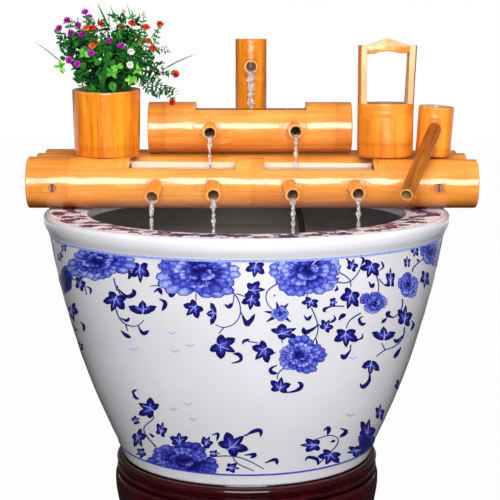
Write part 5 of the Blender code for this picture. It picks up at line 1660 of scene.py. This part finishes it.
# broken falling water glints more than a still surface, so it bends light more strongly here; its
# white opaque share is painted sparkle
FALLING_WATER_PAINTED_SPARKLE = water_finish("falling water", (1.0, 1.0, 1.0), 0.80, 0.02, 1.6)
# the cream colour of the drops is a painted glint, so that they show as pale specks
DROP_WATER_PAINTED_GLINT = water_finish("drops of water", (0.98, 0.86, 0.76), 0.3, 0.05)
# the pale colour of the pool is painted reflection: its surface shows as a light band against the
# dark inside
STILL_WATER_PAINTED_REFLECTION = water_finish("still water", (0.90, 0.88, 0.93), 0.10, 0.06)
# the pinkish colour of the water in the slots and the trough is painted reflection
BRIGHT_WATER_PAINTED_REFLECTION = water_finish("bright water", (0.72, 0.44, 0.39), 0.10, 0.30)

# %% [markdown]
# Each stream starts inside its spout, hangs from the lower lip as a flat sheet, and soon gathers
# into a twisting rope. Two sines of different length make the lumps, because one alone would look
# like beads. The corners go straight into the mesh, since no tool sweeps a changing section.
# %% Streams
WATER_Z = RIM_Z - 0.0550
SLOT_WATER_Z = FRONT_Z + 0.0197
STREAM_SIDES = 14
ROW_STEP = 0.0009
drift = random.Random(3)
LIP_DROP = 0.0052
INSIDE = 0.010
GATHER = 0.0045
SHEET_HALF_WIDTH, SHEET_HALF_THICKNESS = 0.0054, 0.0014


def flowing(name, points, faces, finish):
    """A smooth piece of water that moves with the rack."""
    piece = built(name, points, faces, finish)
    bpy.ops.object.shade_smooth()
    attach(piece, "rack")


def fall_route(mouth, way, bottom):
    """The line of a stream: out of the spout, over its lower lip and down to a level."""
    ahead = Vector((way.x, way.y, 0)).normalized()
    lip = mouth - Vector((0, 0, LIP_DROP))
    fall = lip.z - bottom
    steps = (
        (-INSIDE, -0.0012), (-0.001, 0), (0.0022, 0.0040), (0.0036, 0.25 * fall),
        (0.0046, 0.6 * fall), (0.0052, fall),
    )
    places = [lip + ahead * out - Vector((0, 0, down)) for out, down in steps]
    return smooth_line(places, max(4, round(fall / ROW_STEP / 5)))


def stream(name, spout, bottom, breadth):
    """A rope of water from a spout's lower lip down to a level."""
    route = fall_route(*SPOUT_ENDS[spout], bottom)
    start, beat = drift.uniform(0, 6), drift.uniform(0.85, 1.15)
    points, gone = [], 0.0
    for here, before in zip(route, [route[0], *route]):
        gone += (here - before).length
        drop = max(0.0, gone - INSIDE)
        flat = math.exp(-drop / GATHER)
        lump = 0.34 * math.sin(beat * drop / 0.0016 + start)
        lump += 0.26 * math.sin(beat * drop / 0.0037 + 2 * start)
        wide = breadth * (0.85 + lump) * (1 - flat) + SHEET_HALF_WIDTH * flat
        thin = breadth * (0.60 - 0.6 * lump) * (1 - flat) + SHEET_HALF_THICKNESS * flat
        twist = (1 - flat) * (drop / 0.0065 + start)
        across = Vector((math.cos(twist), math.sin(twist), 0))
        aside = Vector((-math.sin(twist), math.cos(twist), 0))
        for k in range(STREAM_SIDES):
            angle = 2 * math.pi * k / STREAM_SIDES
            points.append(here + across * wide * math.cos(angle) + aside * thin * math.sin(angle))
    last = len(points) - STREAM_SIDES
    faces = [tuple(reversed(range(STREAM_SIDES))), tuple(range(last, last + STREAM_SIDES))]
    for row in range(0, last, STREAM_SIDES):
        for k in range(STREAM_SIDES):
            a, b = row + k, row + (k + 1) % STREAM_SIDES
            faces.append((a, b, b + STREAM_SIDES, a + STREAM_SIDES))
    flowing(name, points, faces, FALLING_WATER_PAINTED_SPARKLE)


LEVELS = {
    "front": (WATER_Z - 0.001, 0.0034), "trough": (SLOT_WATER_Z - 0.001, 0.0032),
    "top": (TROUGH_Z + TROUGH_RADIUS - 0.014, 0.0062),
}
for key in SPOUTS:
    kind = key.split("_")[0]
    stream(key.replace(kind, f"{kind}_stream"), key, *LEVELS[kind])
print("streams:", len(SPOUTS))

# %% [markdown]
# The falling water splashes the front culm and the trough. A drop on a surface is a low dome, and
# eight corners round it are enough at its size. All the drops are one piece, near the spouts.
# %% Splashed drops
DROPS = 46
DROP_SIDES = 8
FRONT_SPOUT_X = [line[0] for key, line in SPOUT_LINES.items() if key.startswith("front")]


def drop_shape(centre, normal, radius):
    """A small dome of water on a surface: points and faces."""
    aside = normal.cross(Vector((1, 0.2, 0.1))).normalized()
    other = normal.cross(aside)
    points = [centre - normal * 0.0002, centre + normal * (0.55 * radius)]
    for share, rise in ((1.0, -0.0001), (0.92, 0.28 * radius), (0.55, 0.48 * radius)):
        for k in range(DROP_SIDES):
            angle = 2 * math.pi * k / DROP_SIDES
            out = aside * math.cos(angle) + other * math.sin(angle)
            points.append(centre + normal * rise + out * radius * share)
    low, middle, high = (2 + ring * DROP_SIDES for ring in range(3))
    faces = []
    for k in range(DROP_SIDES):
        j = (k + 1) % DROP_SIDES
        faces += [(0, low + j, low + k), (1, high + k, high + j)]
        faces += [(low + k, low + j, middle + j, middle + k)]
        faces += [(middle + k, middle + j, high + j, high + k)]
    return points, faces


drop_points, drop_faces = [], []
for index in range(DROPS):
    if index % 2:
        x, axis, radius = drift.uniform(-0.10, 0.12), (MIDDLE_Y, TROUGH_Z), TROUGH_RADIUS
    else:
        x = drift.choice(FRONT_SPOUT_X) + drift.gauss(0, 0.02)
        axis, radius = (FRONT_Y, FRONT_Z), FRONT_RADIUS
    turn = math.radians(drift.uniform(-38, 50))
    normal = Vector((0, -math.cos(turn), math.sin(turn)))
    centre = Vector((x, *axis)) + normal * radius
    points, faces = drop_shape(centre, normal, drift.uniform(0.0005, 0.0011))
    drop_faces += [tuple(corner + len(drop_points) for corner in face) for face in faces]
    drop_points += points
flowing("splashed_drops", drop_points, drop_faces, DROP_WATER_PAINTED_GLINT)
print("drops:", DROPS)

# %% [markdown]
# Still water shows only its surface. A full body of it would hide in the bowl and slow the render,
# so the pool is a thin turned slab, and the water in the two slots and in the trough is a thin box.
# %% Still water
pool = lathe(
    "pool", [(0, -0.004), (0.2490, -0.004), (0.2500, -0.0005), (0.2495, 0), (0.12, 0), (0, 0)], 128
)
settle(pool, Matrix.Translation((BOWL_X, 0, WATER_Z)))
pool.data.materials.append(STILL_WATER_PAINTED_REFLECTION)
alone(pool)
bpy.ops.object.shade_smooth_by_angle(angle=math.radians(30))
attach(pool, "bowl")
SLAB_DEPTH = 0.004
slabs = [
    (
        f"slot_water_{number}", (start + GAP, SLOT_FRONT + GAP, SLOT_WATER_Z - SLAB_DEPTH),
        (end - GAP, SLOT_BACK - GAP, SLOT_WATER_Z),
    )
    for number, (start, end) in enumerate(SLOTS, 1)
]
slabs.append((
    "trough_water", (TROUGH_CUT[0] - 0.002, MIDDLE_Y - 0.0185, TROUGH_Z + 0.0150),
    (TROUGH_CUT[1] + 0.002, MIDDLE_Y + 0.0185, TROUGH_Z + 0.0218),
))
for name, low, high in slabs:
    water = block(name, low, high, bevel=0.0006)
    water.data.materials.append(BRIGHT_WATER_PAINTED_REFLECTION)
    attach(water, "rack")
print("water surfaces:", 1 + len(slabs))

# %% [markdown]
# ## The artificial plant
#
# Leaves could be cards with a picture on them, but seen from the side a card is nothing. Each leaf
# here is a thin closed lens, a few rows of corners along its rib, bent as it goes. Broad leaves
# cover the lower mass, small ones follow the stems, and every bloom is a round of short petals.
# %% Plant finishes
FOLIAGE = painted_finish(
    "artificial foliage", (0.0, (0.002, 0.018, 0.006)), (0.35, (0.010, 0.115, 0.016)),
    (0.68, (0.065, 0.38, 0.030)), (1.0, (0.42, 0.74, 0.08)),
)
PETALS = {
    "magenta": ((0.1, (0.07, 0.001, 0.09)), (0.9, (0.60, 0.022, 0.55))),
    "red": ((0.1, (0.16, 0.002, 0.002)), (0.9, (0.88, 0.055, 0.020))),
    "orange": ((0.1, (0.26, 0.02, 0.003)), (0.9, (0.90, 0.17, 0.025))),
    "white": ((0.1, (0.36, 0.36, 0.34)), (0.7, (0.93, 0.90, 0.90))),
}
PETAL_FINISHES = {c: painted_finish(f"{c} petals", *stops) for c, stops in PETALS.items()}
print("plant finishes:", 1 + len(PETAL_FINISHES))

# %% [markdown]
# A leaf is two rows of edges and a rib, with one corner above and one below it, so that it is thin
# but closed. A stem is a tube with five sides. Thousands of them as pieces of their own would be
# slow, so their corners and faces are gathered in stores, one for each finish.
# %% Leaf and stem shapes
POT_MOUTH = Vector((POT_X, VALLEY_Y, STANDING_Z + POT_HEIGHT))
sprig = random.Random(8)


def in_depth(x, y, depth):
    """The point on a picture place's line of sight at a given Y."""
    ray = pixel_ray(x, y)
    return EYE + ray * ((depth - EYE.y) / ray.y)


def leaf_shape(store, root, way, facing, length, width, widths, tone, curl=0.2, edge=0.12):
    """A thin closed leaf: its rib bends away from the side it faces, and its edges are paler."""
    way = way.normalized()
    facing = (facing - way * facing.dot(way)).normalized()
    across = way.cross(facing)
    first = len(store["points"])
    rows = len(widths)
    store["points"].append(root)
    store["paint"].append(tone - 0.15)
    for row, share in enumerate(widths, 1):
        along = row / (rows + 1)
        middle = root + way * (length * along) - facing * (curl * length * along**2)
        half = width / 2 * share
        rise = 0.18 * half
        for u, v, shade in (
            (-half, rise, edge), (0, 0.0003, -0.05), (half, rise, edge), (0, -0.0004, -0.12),
        ):
            store["points"].append(middle + across * u + facing * v)
            store["paint"].append(tone + shade)
    store["points"].append(root + way * length - facing * (curl * length))
    store["paint"].append(tone + edge)
    for k in range(4):
        j = (k + 1) % 4
        store["faces"].append((first, first + 1 + j, first + 1 + k))
        for row in range(rows - 1):
            a, b = first + 1 + 4 * row + k, first + 1 + 4 * row + j
            store["faces"].append((a, b, b + 4, a + 4))
        end = first + 1 + 4 * (rows - 1)
        store["faces"].append((end + k, end + j, first + 1 + 4 * rows))


def stem_shape(store, line, start_radius, end_radius, tone):
    """A thin tube with five sides along a line of points."""
    first, count = len(store["points"]), len(line)
    for i, here in enumerate(line):
        way = (line[min(i + 1, count - 1)] - line[max(i - 1, 0)]).normalized()
        aside = way.cross(Vector((0.3, 1, 0.1))).normalized()
        other = way.cross(aside)
        radius = start_radius + (end_radius - start_radius) * i / (count - 1)
        for k in range(5):
            angle = 2 * math.pi * k / 5
            out = aside * math.cos(angle) + other * math.sin(angle)
            store["points"].append(here + out * radius)
            store["paint"].append(tone)
    store["faces"].append(tuple(first + k for k in range(5)))
    store["faces"].append(tuple(first + 5 * (count - 1) + k for k in reversed(range(5))))
    for i in range(count - 1):
        for k in range(5):
            a, b = first + 5 * i + k, first + 5 * i + (k + 1) % 5
            store["faces"].append((a, a + 5, b + 5, b))


def some_way(up=0.0):
    """A direction at random, leaning up."""
    return Vector((sprig.gauss(0, 1), sprig.gauss(0, 1), sprig.gauss(0, 1) + up)).normalized()


def new_store():
    """Room for the corners, faces and paint of many small shapes."""
    return {"points": [], "faces": [], "paint": []}


greenery = new_store()
blooms = {colour: new_store() for colour in PETALS}

# %% [markdown]
# The body of the plant is round masses of leaves. Each mass has a middle, a size, a number of
# leaves, their length and width, and a tone. Leaves deep inside are painted darker as painted shade,
# and slim dark ones fill the gaps as painted shade, so that no light shows through.
# %% Leaf masses
ROUND_LEAF = (0.75, 1.0, 0.9, 0.55)
SLIM_LEAF = (0.8, 1.0, 0.6)
MASSES = (
    (Vector((-0.001, 0.000, 0.026)), Vector((0.050, 0.040, 0.032)), 190, 0.015, 0.011, 0.52),
    (Vector((-0.034, -0.004, 0.054)), Vector((0.030, 0.028, 0.026)), 90, 0.010, 0.007, 0.44),
    (Vector((0.024, 0.002, 0.056)), Vector((0.034, 0.028, 0.026)), 140, 0.010, 0.006, 0.40),
    (Vector((0.056, -0.002, 0.030)), Vector((0.026, 0.020, 0.016)), 60, 0.008, 0.004, 0.32),
    (Vector((0.026, -0.004, 0.086)), Vector((0.032, 0.024, 0.020)), 60, 0.009, 0.004, 0.62),
    (Vector((-0.022, -0.002, 0.080)), Vector((0.034, 0.024, 0.014)), 40, 0.009, 0.004, 0.46),
)
for middle_place, size, count, long, wide, tone in MASSES:
    for _ in range(count):
        out = some_way(0.3)
        depth = sprig.uniform(0.72, 1.0)
        root = POT_MOUTH + middle_place + Vector(out[i] * size[i] * depth * 0.85 for i in range(3))
        way = (out + some_way(0.5) * 0.8).normalized()
        grown = sprig.uniform(0.7, 1.15)
        # painted shade: the deeper a leaf lies in the mass, the darker it is
        shade = tone + sprig.uniform(-0.16, 0.16) - 0.9 * (1 - depth)
        sizes = (long * grown, wide * grown)
        leaf_shape(greenery, root, way, out + some_way() * 0.4, *sizes, ROUND_LEAF, shade)
    for _ in range(count // 2):
        out = some_way(0.1)
        inside = Vector(out[i] * size[i] * sprig.uniform(0.2, 0.6) for i in range(3))
        root = POT_MOUTH + middle_place + inside
        way, facing = out + some_way(), some_way()
        # painted shade: the slim filler leaves are dark
        shade = sprig.uniform(-0.05, 0.15)
        leaf_shape(greenery, root, way, facing, 1.2 * long, 1.2 * wide, SLIM_LEAF, shade)
print("corners of leaves:", len(greenery["points"]))

# %% [markdown]
# Single blooms, branches and blades stand out of the masses, and the eye knows their places. They
# could be scattered by chance like the leaves, but then the plant would be another one. So their
# places were read from the picture, and a few more blooms at the back make it full from behind.
# %% Places of the flowers
FLOWERS = {
    "magenta": (
        (59, 28), (67, 20), (71, 33), (78, 25), (85, 12), (89, 17), (82, 34), (109, 41), (121, 46),
        (69, 60), (77, 64), (91, 53),
    ),
    "red": (
        (92, 28), (101, 24), (122, 27), (132, 23), (146, 27), (160, 24), (153, 48), (176, 74),
        (172, 102), (95, 43),
    ),
    "orange": ((86, 28), (142, 41), (148, 41), (92, 46)),
    "white": ((124, 11), (144, 14), (168, 50), (178, 91), (130, 65), (113, 28), (131, 52)),
}
BACK_BLOOMS = (
    (80, 40, "magenta"), (95, 30, "red"), (112, 50, "white"), (128, 38, "red"), (70, 50, "magenta"),
    (140, 55, "orange"),
)
BLOOM_SIZE = 0.0054
BLADE_WIDTHS = (0.8, 1.0, 1.0, 0.9, 0.7, 0.45)
BLADES = (
    ((65, 66), (36, 43), 0.0016), ((110, 31), (97, 3), 0.0030), ((117, 26), (110, 6), 0.0018),
    ((131, 20), (127, 5), 0.0014), ((160, 72), (194, 55), 0.0020), ((150, 40), (166, 22), 0.0018),
    ((102, 90), (108, 56), 0.0070), ((122, 65), (128, 44), 0.0035), ((97, 57), (106, 46), 0.0040),
    ((86, 17), (84, 7), 0.0012), ((78, 26), (78, 17), 0.0014), ((71, 30), (72, 17), 0.0014),
    ((152, 70), (160, 64), 0.0024), ((99, 74), (101, 84), 0.0035),
)
STARS = ((60, 67), (118, 68), (138, 70), (84, 54), (131, 80), (112, 73))
BRANCHES = (
    ((128, 70), (150, 84), (166, 92), (172, 100)), ((130, 68), (150, 71), (168, 73), (175, 74)),
    ((132, 74), (152, 80), (168, 88), (177, 91)), ((128, 60), (142, 54), (158, 50), (166, 50)),
    ((140, 82), (148, 90), (156, 94), (160, 96)), ((66, 50), (62, 44), (58, 36), (59, 30)),
    ((128, 76), (140, 78), (152, 78), (158, 76)),
)


print("blooms in front:", sum(len(places) for places in FLOWERS.values()))

# %% [markdown]
# A bloom is three rounds of petals over a green cup, and a stem carries leaves on both sides. Both
# use the same leaf shape, because at this size only outline and colour tell them apart.
# %% Bloom and stem shapes
def bloom(colour, centre, facing, size=BLOOM_SIZE):
    """A round flower: a ring of petals laid open, two closer rings, and a green cup."""
    aside = facing.cross(Vector((0.2, 0.1, 1))).normalized()
    other = facing.cross(aside)

    def outward(angle):
        return aside * math.cos(angle) + other * math.sin(angle)

    for count, lean, length in ((7, 0.15, 1.0), (6, 0.75, 0.85), (4, 1.8, 0.7)):
        first = sprig.uniform(0, 6)
        for k in range(count):
            out = outward(first + 2 * math.pi * k / count)
            leaf_shape(
                blooms[colour], centre, out + facing * lean, facing - out * 0.6, size * length,
                size * 0.95, (0.8, 1.0), sprig.uniform(0.1, 0.9), 0.1, 0.1,
            )
    back = centre - facing * (0.45 * size)
    for k in range(5):
        out = outward(2 * math.pi * k / 5)
        way, sizes = out * 0.8 + facing * 0.6, (0.95 * size, 0.55 * size)
        leaf_shape(greenery, back, way, facing, *sizes, (0.9, 0.8), 0.45, -0.2)


def leafy_stem(line, tone, spacing=0.0055, length=0.006):
    """A stem with small leaves on both sides of it."""
    stem_shape(greenery, line, 0.0009, 0.0005, tone)
    gone = 0.0
    for here, there in zip(line, line[1:]):
        gone += (there - here).length
        if gone > spacing:
            gone = 0.0
            run = (there - here).normalized()
            for side in (-1, 1):
                aside = run.cross(Vector((0.2, 1, 0.2))) * side
                out = aside + run * 0.5 + some_way() * 0.5
                shade = tone + sprig.uniform(-0.15, 0.25)
                grown = length * sprig.uniform(0.7, 1.3)
                facing = Vector((0, -1, 0.6)) + some_way() * 0.6
                leaf_shape(greenery, here, out, facing, grown, 0.5 * grown, SLIM_LEAF, shade)


# %% [markdown]
# Each place is now set on the camera's line of sight at a depth near the pot, and a stem bends up
# to it. Blades are long leaves between two places, and the stars are rounds of pale tips.
# %% Flowers in place
for colour, places in FLOWERS.items():
    for x, y in places:
        centre = in_depth(x, y, VALLEY_Y + sprig.uniform(-0.048, -0.012))
        off = centre.x - POT_X
        base = POT_MOUTH + Vector((0.35 * off, sprig.uniform(-0.01, 0.01), 0.004))
        knee = base.lerp(centre, 0.55) + Vector((0.12 * off, 0, 0.004))
        facing = ((centre - knee).normalized() + Vector((0, -0.75, 0.1))).normalized()
        bloom(colour, centre, facing)
        # the branches below carry the blooms at the right
        if not (x > 160 and y > 45):
            leafy_stem(smooth_line([base, knee, centre - facing * 0.002], 12), 0.35)
for route in BRANCHES:
    depth = VALLEY_Y + sprig.uniform(-0.018, 0.018)
    leafy_stem(smooth_line([in_depth(x, y, depth) for x, y in route], 10), 0.22, 0.0032, 0.0062)
for foot, top, wide in BLADES:
    depth = VALLEY_Y - (0.040 if wide > 0.003 else sprig.uniform(-0.01, 0.02))
    root, tip = in_depth(*foot, depth), in_depth(*top, depth - 0.004)
    tone = sprig.uniform(0.26, 0.46)
    upper = (tip - root).cross(Vector((0, 1, 0))).normalized()
    upper *= 1 if upper.z > 0 else -1
    bend = 0.26 if wide < 0.003 else 0.08
    facing = (upper * 0.6 + Vector((0, -0.9, 0))).normalized()
    run = tip + facing * (bend * (tip - root).length) - root
    leaf_shape(greenery, root, run, facing, run.length, wide, BLADE_WIDTHS, tone, bend, 0.05)
for x, y in STARS:
    centre = in_depth(x, y, VALLEY_Y - 0.040)
    for _ in range(7):
        angle = sprig.uniform(0, 2 * math.pi)
        way = Vector((math.cos(angle), sprig.uniform(-0.6, 0), math.sin(angle) + 0.3))
        grown = sprig.uniform(0.006, 0.0105)
        tone = sprig.uniform(0.60, 0.86)
        facing = Vector((0, -1, 0.3))
        leaf_shape(greenery, centre, way, facing, grown, 0.55 * grown, SLIM_LEAF, tone, 0.15, 0.04)
for x, y, colour in BACK_BLOOMS:
    bloom(colour, in_depth(x, y, VALLEY_Y + 0.034), Vector((0, 0.9, 0.4)).normalized())
print("corners of leaves and stems:", len(greenery["points"]))

# %% [markdown]
# Each store becomes one closed piece. All of them stand for the one plant of the frame, which is a
# plain mass there, and all of them move with it.
# %% Plant pieces
plant_pieces = [("foliage", greenery, FOLIAGE)]
plant_pieces += [(f"blooms_{colour}", blooms[colour], PETAL_FINISHES[colour]) for colour in PETALS]
for name, store, finish in plant_pieces:
    piece = built(name, store["points"], store["faces"], finish, store["paint"])
    finish_piece(piece, "plant", "plant", "artificial_plant", angle=60)
    print(name, "faces:", len(piece.data.polygons))

# %% [markdown]
# The pump lies on the bowl's floor under the water. Its shapes are machined and plain, so the
# frame's own are kept, and each piece gets the finish of its plastic, ceramic or rubber.
# %% Pump finishes
dress_nodes(PUMP_SKIN, "pump_housing", "pump_volute", "pump_strainer", "flow_dial")
dress_nodes(PALE_PLASTIC, "pump_rotor")
dress_nodes(CERAMIC, "pump_shaft")
dress_nodes(SOFT_RUBBER, "cable_gland", "sucker_1", "sucker_2", "sucker_3", "sucker_4")
print("pieces of the frame that keep their shape are dressed")

# %% [markdown]
# ## Room and light
#
# The picture is a studio shot on white: nothing behind, and only a soft shadow. A plain white floor
# would lay a grey veil on every glossy piece. So the floor glows for the camera and through water,
# and is much darker for everything that mirrors it.
# %% Floor
FLOOR_GREY = (0.14, 0.14, 0.14)
FLOOR_GLOW = 0.985


def pale_finish(name, colour, glow):
    """A pale surface that shows nearly white to the camera and keeps a soft shadow."""
    finish, tree, shader = new_finish(name)
    place = object_place(tree)
    path = tree.nodes.new("ShaderNodeLightPath").outputs
    lighter = tuple(c * 1.02 for c in colour)
    mottled = ramp(tree, noise(tree, place, 3, 3), (0.3, colour), (0.7, lighter))
    seen_colour = mix_colour(tree, path["Is Glossy Ray"], mottled, (0.02, 0.02, 0.02))
    tree.links.new(seen_colour, shader.inputs["Base Color"])
    shader.inputs["Roughness"].default_value = 0.9
    light = tree.nodes.new("ShaderNodeEmission")
    light.inputs["Strength"].default_value = 1.0
    seen = calculate(tree, "MAXIMUM", path["Is Transmission Ray"], path["Is Glossy Ray"])
    # the floor in front of the fountain would lay a grey veil on the lacquer, so it glows behind only
    depth = tree.nodes.new("ShaderNodeSeparateXYZ")
    tree.links.new(place, depth.inputs[0])
    mirrored = calculate(tree, "MULTIPLY", seen, rescale(tree, depth.outputs["Y"], 1.0, 4.0))
    shown = calculate(tree, "MAXIMUM", mirrored, path["Is Camera Ray"])
    mix = tree.nodes.new("ShaderNodeMixShader")
    tree.links.new(calculate(tree, "MULTIPLY", shown, glow), mix.inputs[0])
    tree.links.new(shader.outputs[0], mix.inputs[1])
    tree.links.new(light.outputs[0], mix.inputs[2])
    tree.links.new(mix.outputs[0], tree.nodes["Material Output"].inputs["Surface"])
    return finish


bpy.ops.object.select_all(action="DESELECT")
bpy.ops.mesh.primitive_plane_add(size=14)
floor = bpy.context.object
floor.name = "floor"
floor.data.materials.append(pale_finish("pale floor", FLOOR_GREY, FLOOR_GLOW))
print("floor:", floor.data.materials[0].name)

# %% [markdown]
# The world is what a ray meets when it misses all else. It could be one white, but then it would
# light the scene flat. So it is white for the camera and through water, it shows a part of itself
# to gloss straight behind the fountain, and it is only a weak fill for the rest.
# %% White world
WORLD_FILL = 0.22
GLOSSY_FILL = 0.10
world = bpy.data.worlds.new("studio")
bpy.context.scene.world = world
world.use_nodes = True
room = world.node_tree
backdrop = room.nodes["Background"]
backdrop.inputs["Color"].default_value = (1.0, 1.0, 1.0, 1)
path = room.nodes.new("ShaderNodeLightPath").outputs
heading = room.nodes.new("ShaderNodeSeparateXYZ")
room.links.new(room.nodes.new("ShaderNodeTexCoord").outputs["Generated"], heading.inputs[0])
behind = rescale(room, heading.outputs["Y"], 0.985, 1.0)
shown = calculate(room, "MULTIPLY", path["Is Glossy Ray"], behind)
shown = calculate(room, "MULTIPLY", shown, 0.5)
shown = calculate(room, "MAXIMUM", shown, path["Is Transmission Ray"])
shown = calculate(room, "MAXIMUM", shown, path["Is Camera Ray"])
veil = calculate(room, "MULTIPLY", path["Is Glossy Ray"], WORLD_FILL - GLOSSY_FILL)
fill = calculate(room, "SUBTRACT", WORLD_FILL, veil)
room.links.new(calculate(room, "MAXIMUM", shown, fill), backdrop.inputs["Strength"])
bpy.context.scene.view_settings.view_transform = "Standard"
print("nodes of the world:", len(room.nodes))

# %% [markdown]
# One large lamp in front and a little above gives the long highlights of the culms. The shadows
# could be left dark, but the picture's are soft, so weak lamps fill them from the other sides. They
# are hidden from everything that mirrors, or each of them would show on the glaze.
# %% Lamps
def softbox(name, place, target, width, height, watts, mirrored=False):
    """A rectangular lamp that faces a point."""
    bpy.ops.object.light_add(type="AREA", location=place)
    lamp = bpy.context.object
    lamp.name = name
    lamp.data.shape = "RECTANGLE"
    lamp.data.size = width
    lamp.data.size_y = height
    lamp.data.energy = watts
    lamp.rotation_euler = (Vector(target) - Vector(place)).to_track_quat("-Z", "Y").to_euler()
    lamp.visible_glossy = mirrored


KEY_DISTANCE = 2.3
KEY_RISE = math.radians(13.6)
FILL_LAMPS = (
    ("low_fill", (0, -3.0, 0.02), (0, 0, 0.45), 1.6, 0.8, 3.0),
    ("side_fill", (-2.2, -1.1, 0.75), (0, 0, 0.36), 1.0, 0.8, 5.5),
    ("side_fill", (2.2, -1.1, 0.75), (0, 0, 0.36), 1.0, 0.8, 16),
    ("back_fill", (0, 2.7, 0.5), (0, 0, 0.40), 1.8, 0.8, 22),
    ("top_softbox", (0.1, -1.1, 2.2), (0, 0, 0.5), 1.4, 1.0, 22),
)
rack_middle = Vector((0, FRONT_Y, FRONT_Z))
key_place = rack_middle + KEY_DISTANCE * Vector((0, -math.cos(KEY_RISE), math.sin(KEY_RISE)))
softbox("key_softbox", key_place, rack_middle, 1.5, 0.95, 44, mirrored=True)
for lamp in FILL_LAMPS:
    softbox(*lamp)
print("lamps:", 1 + len(FILL_LAMPS))
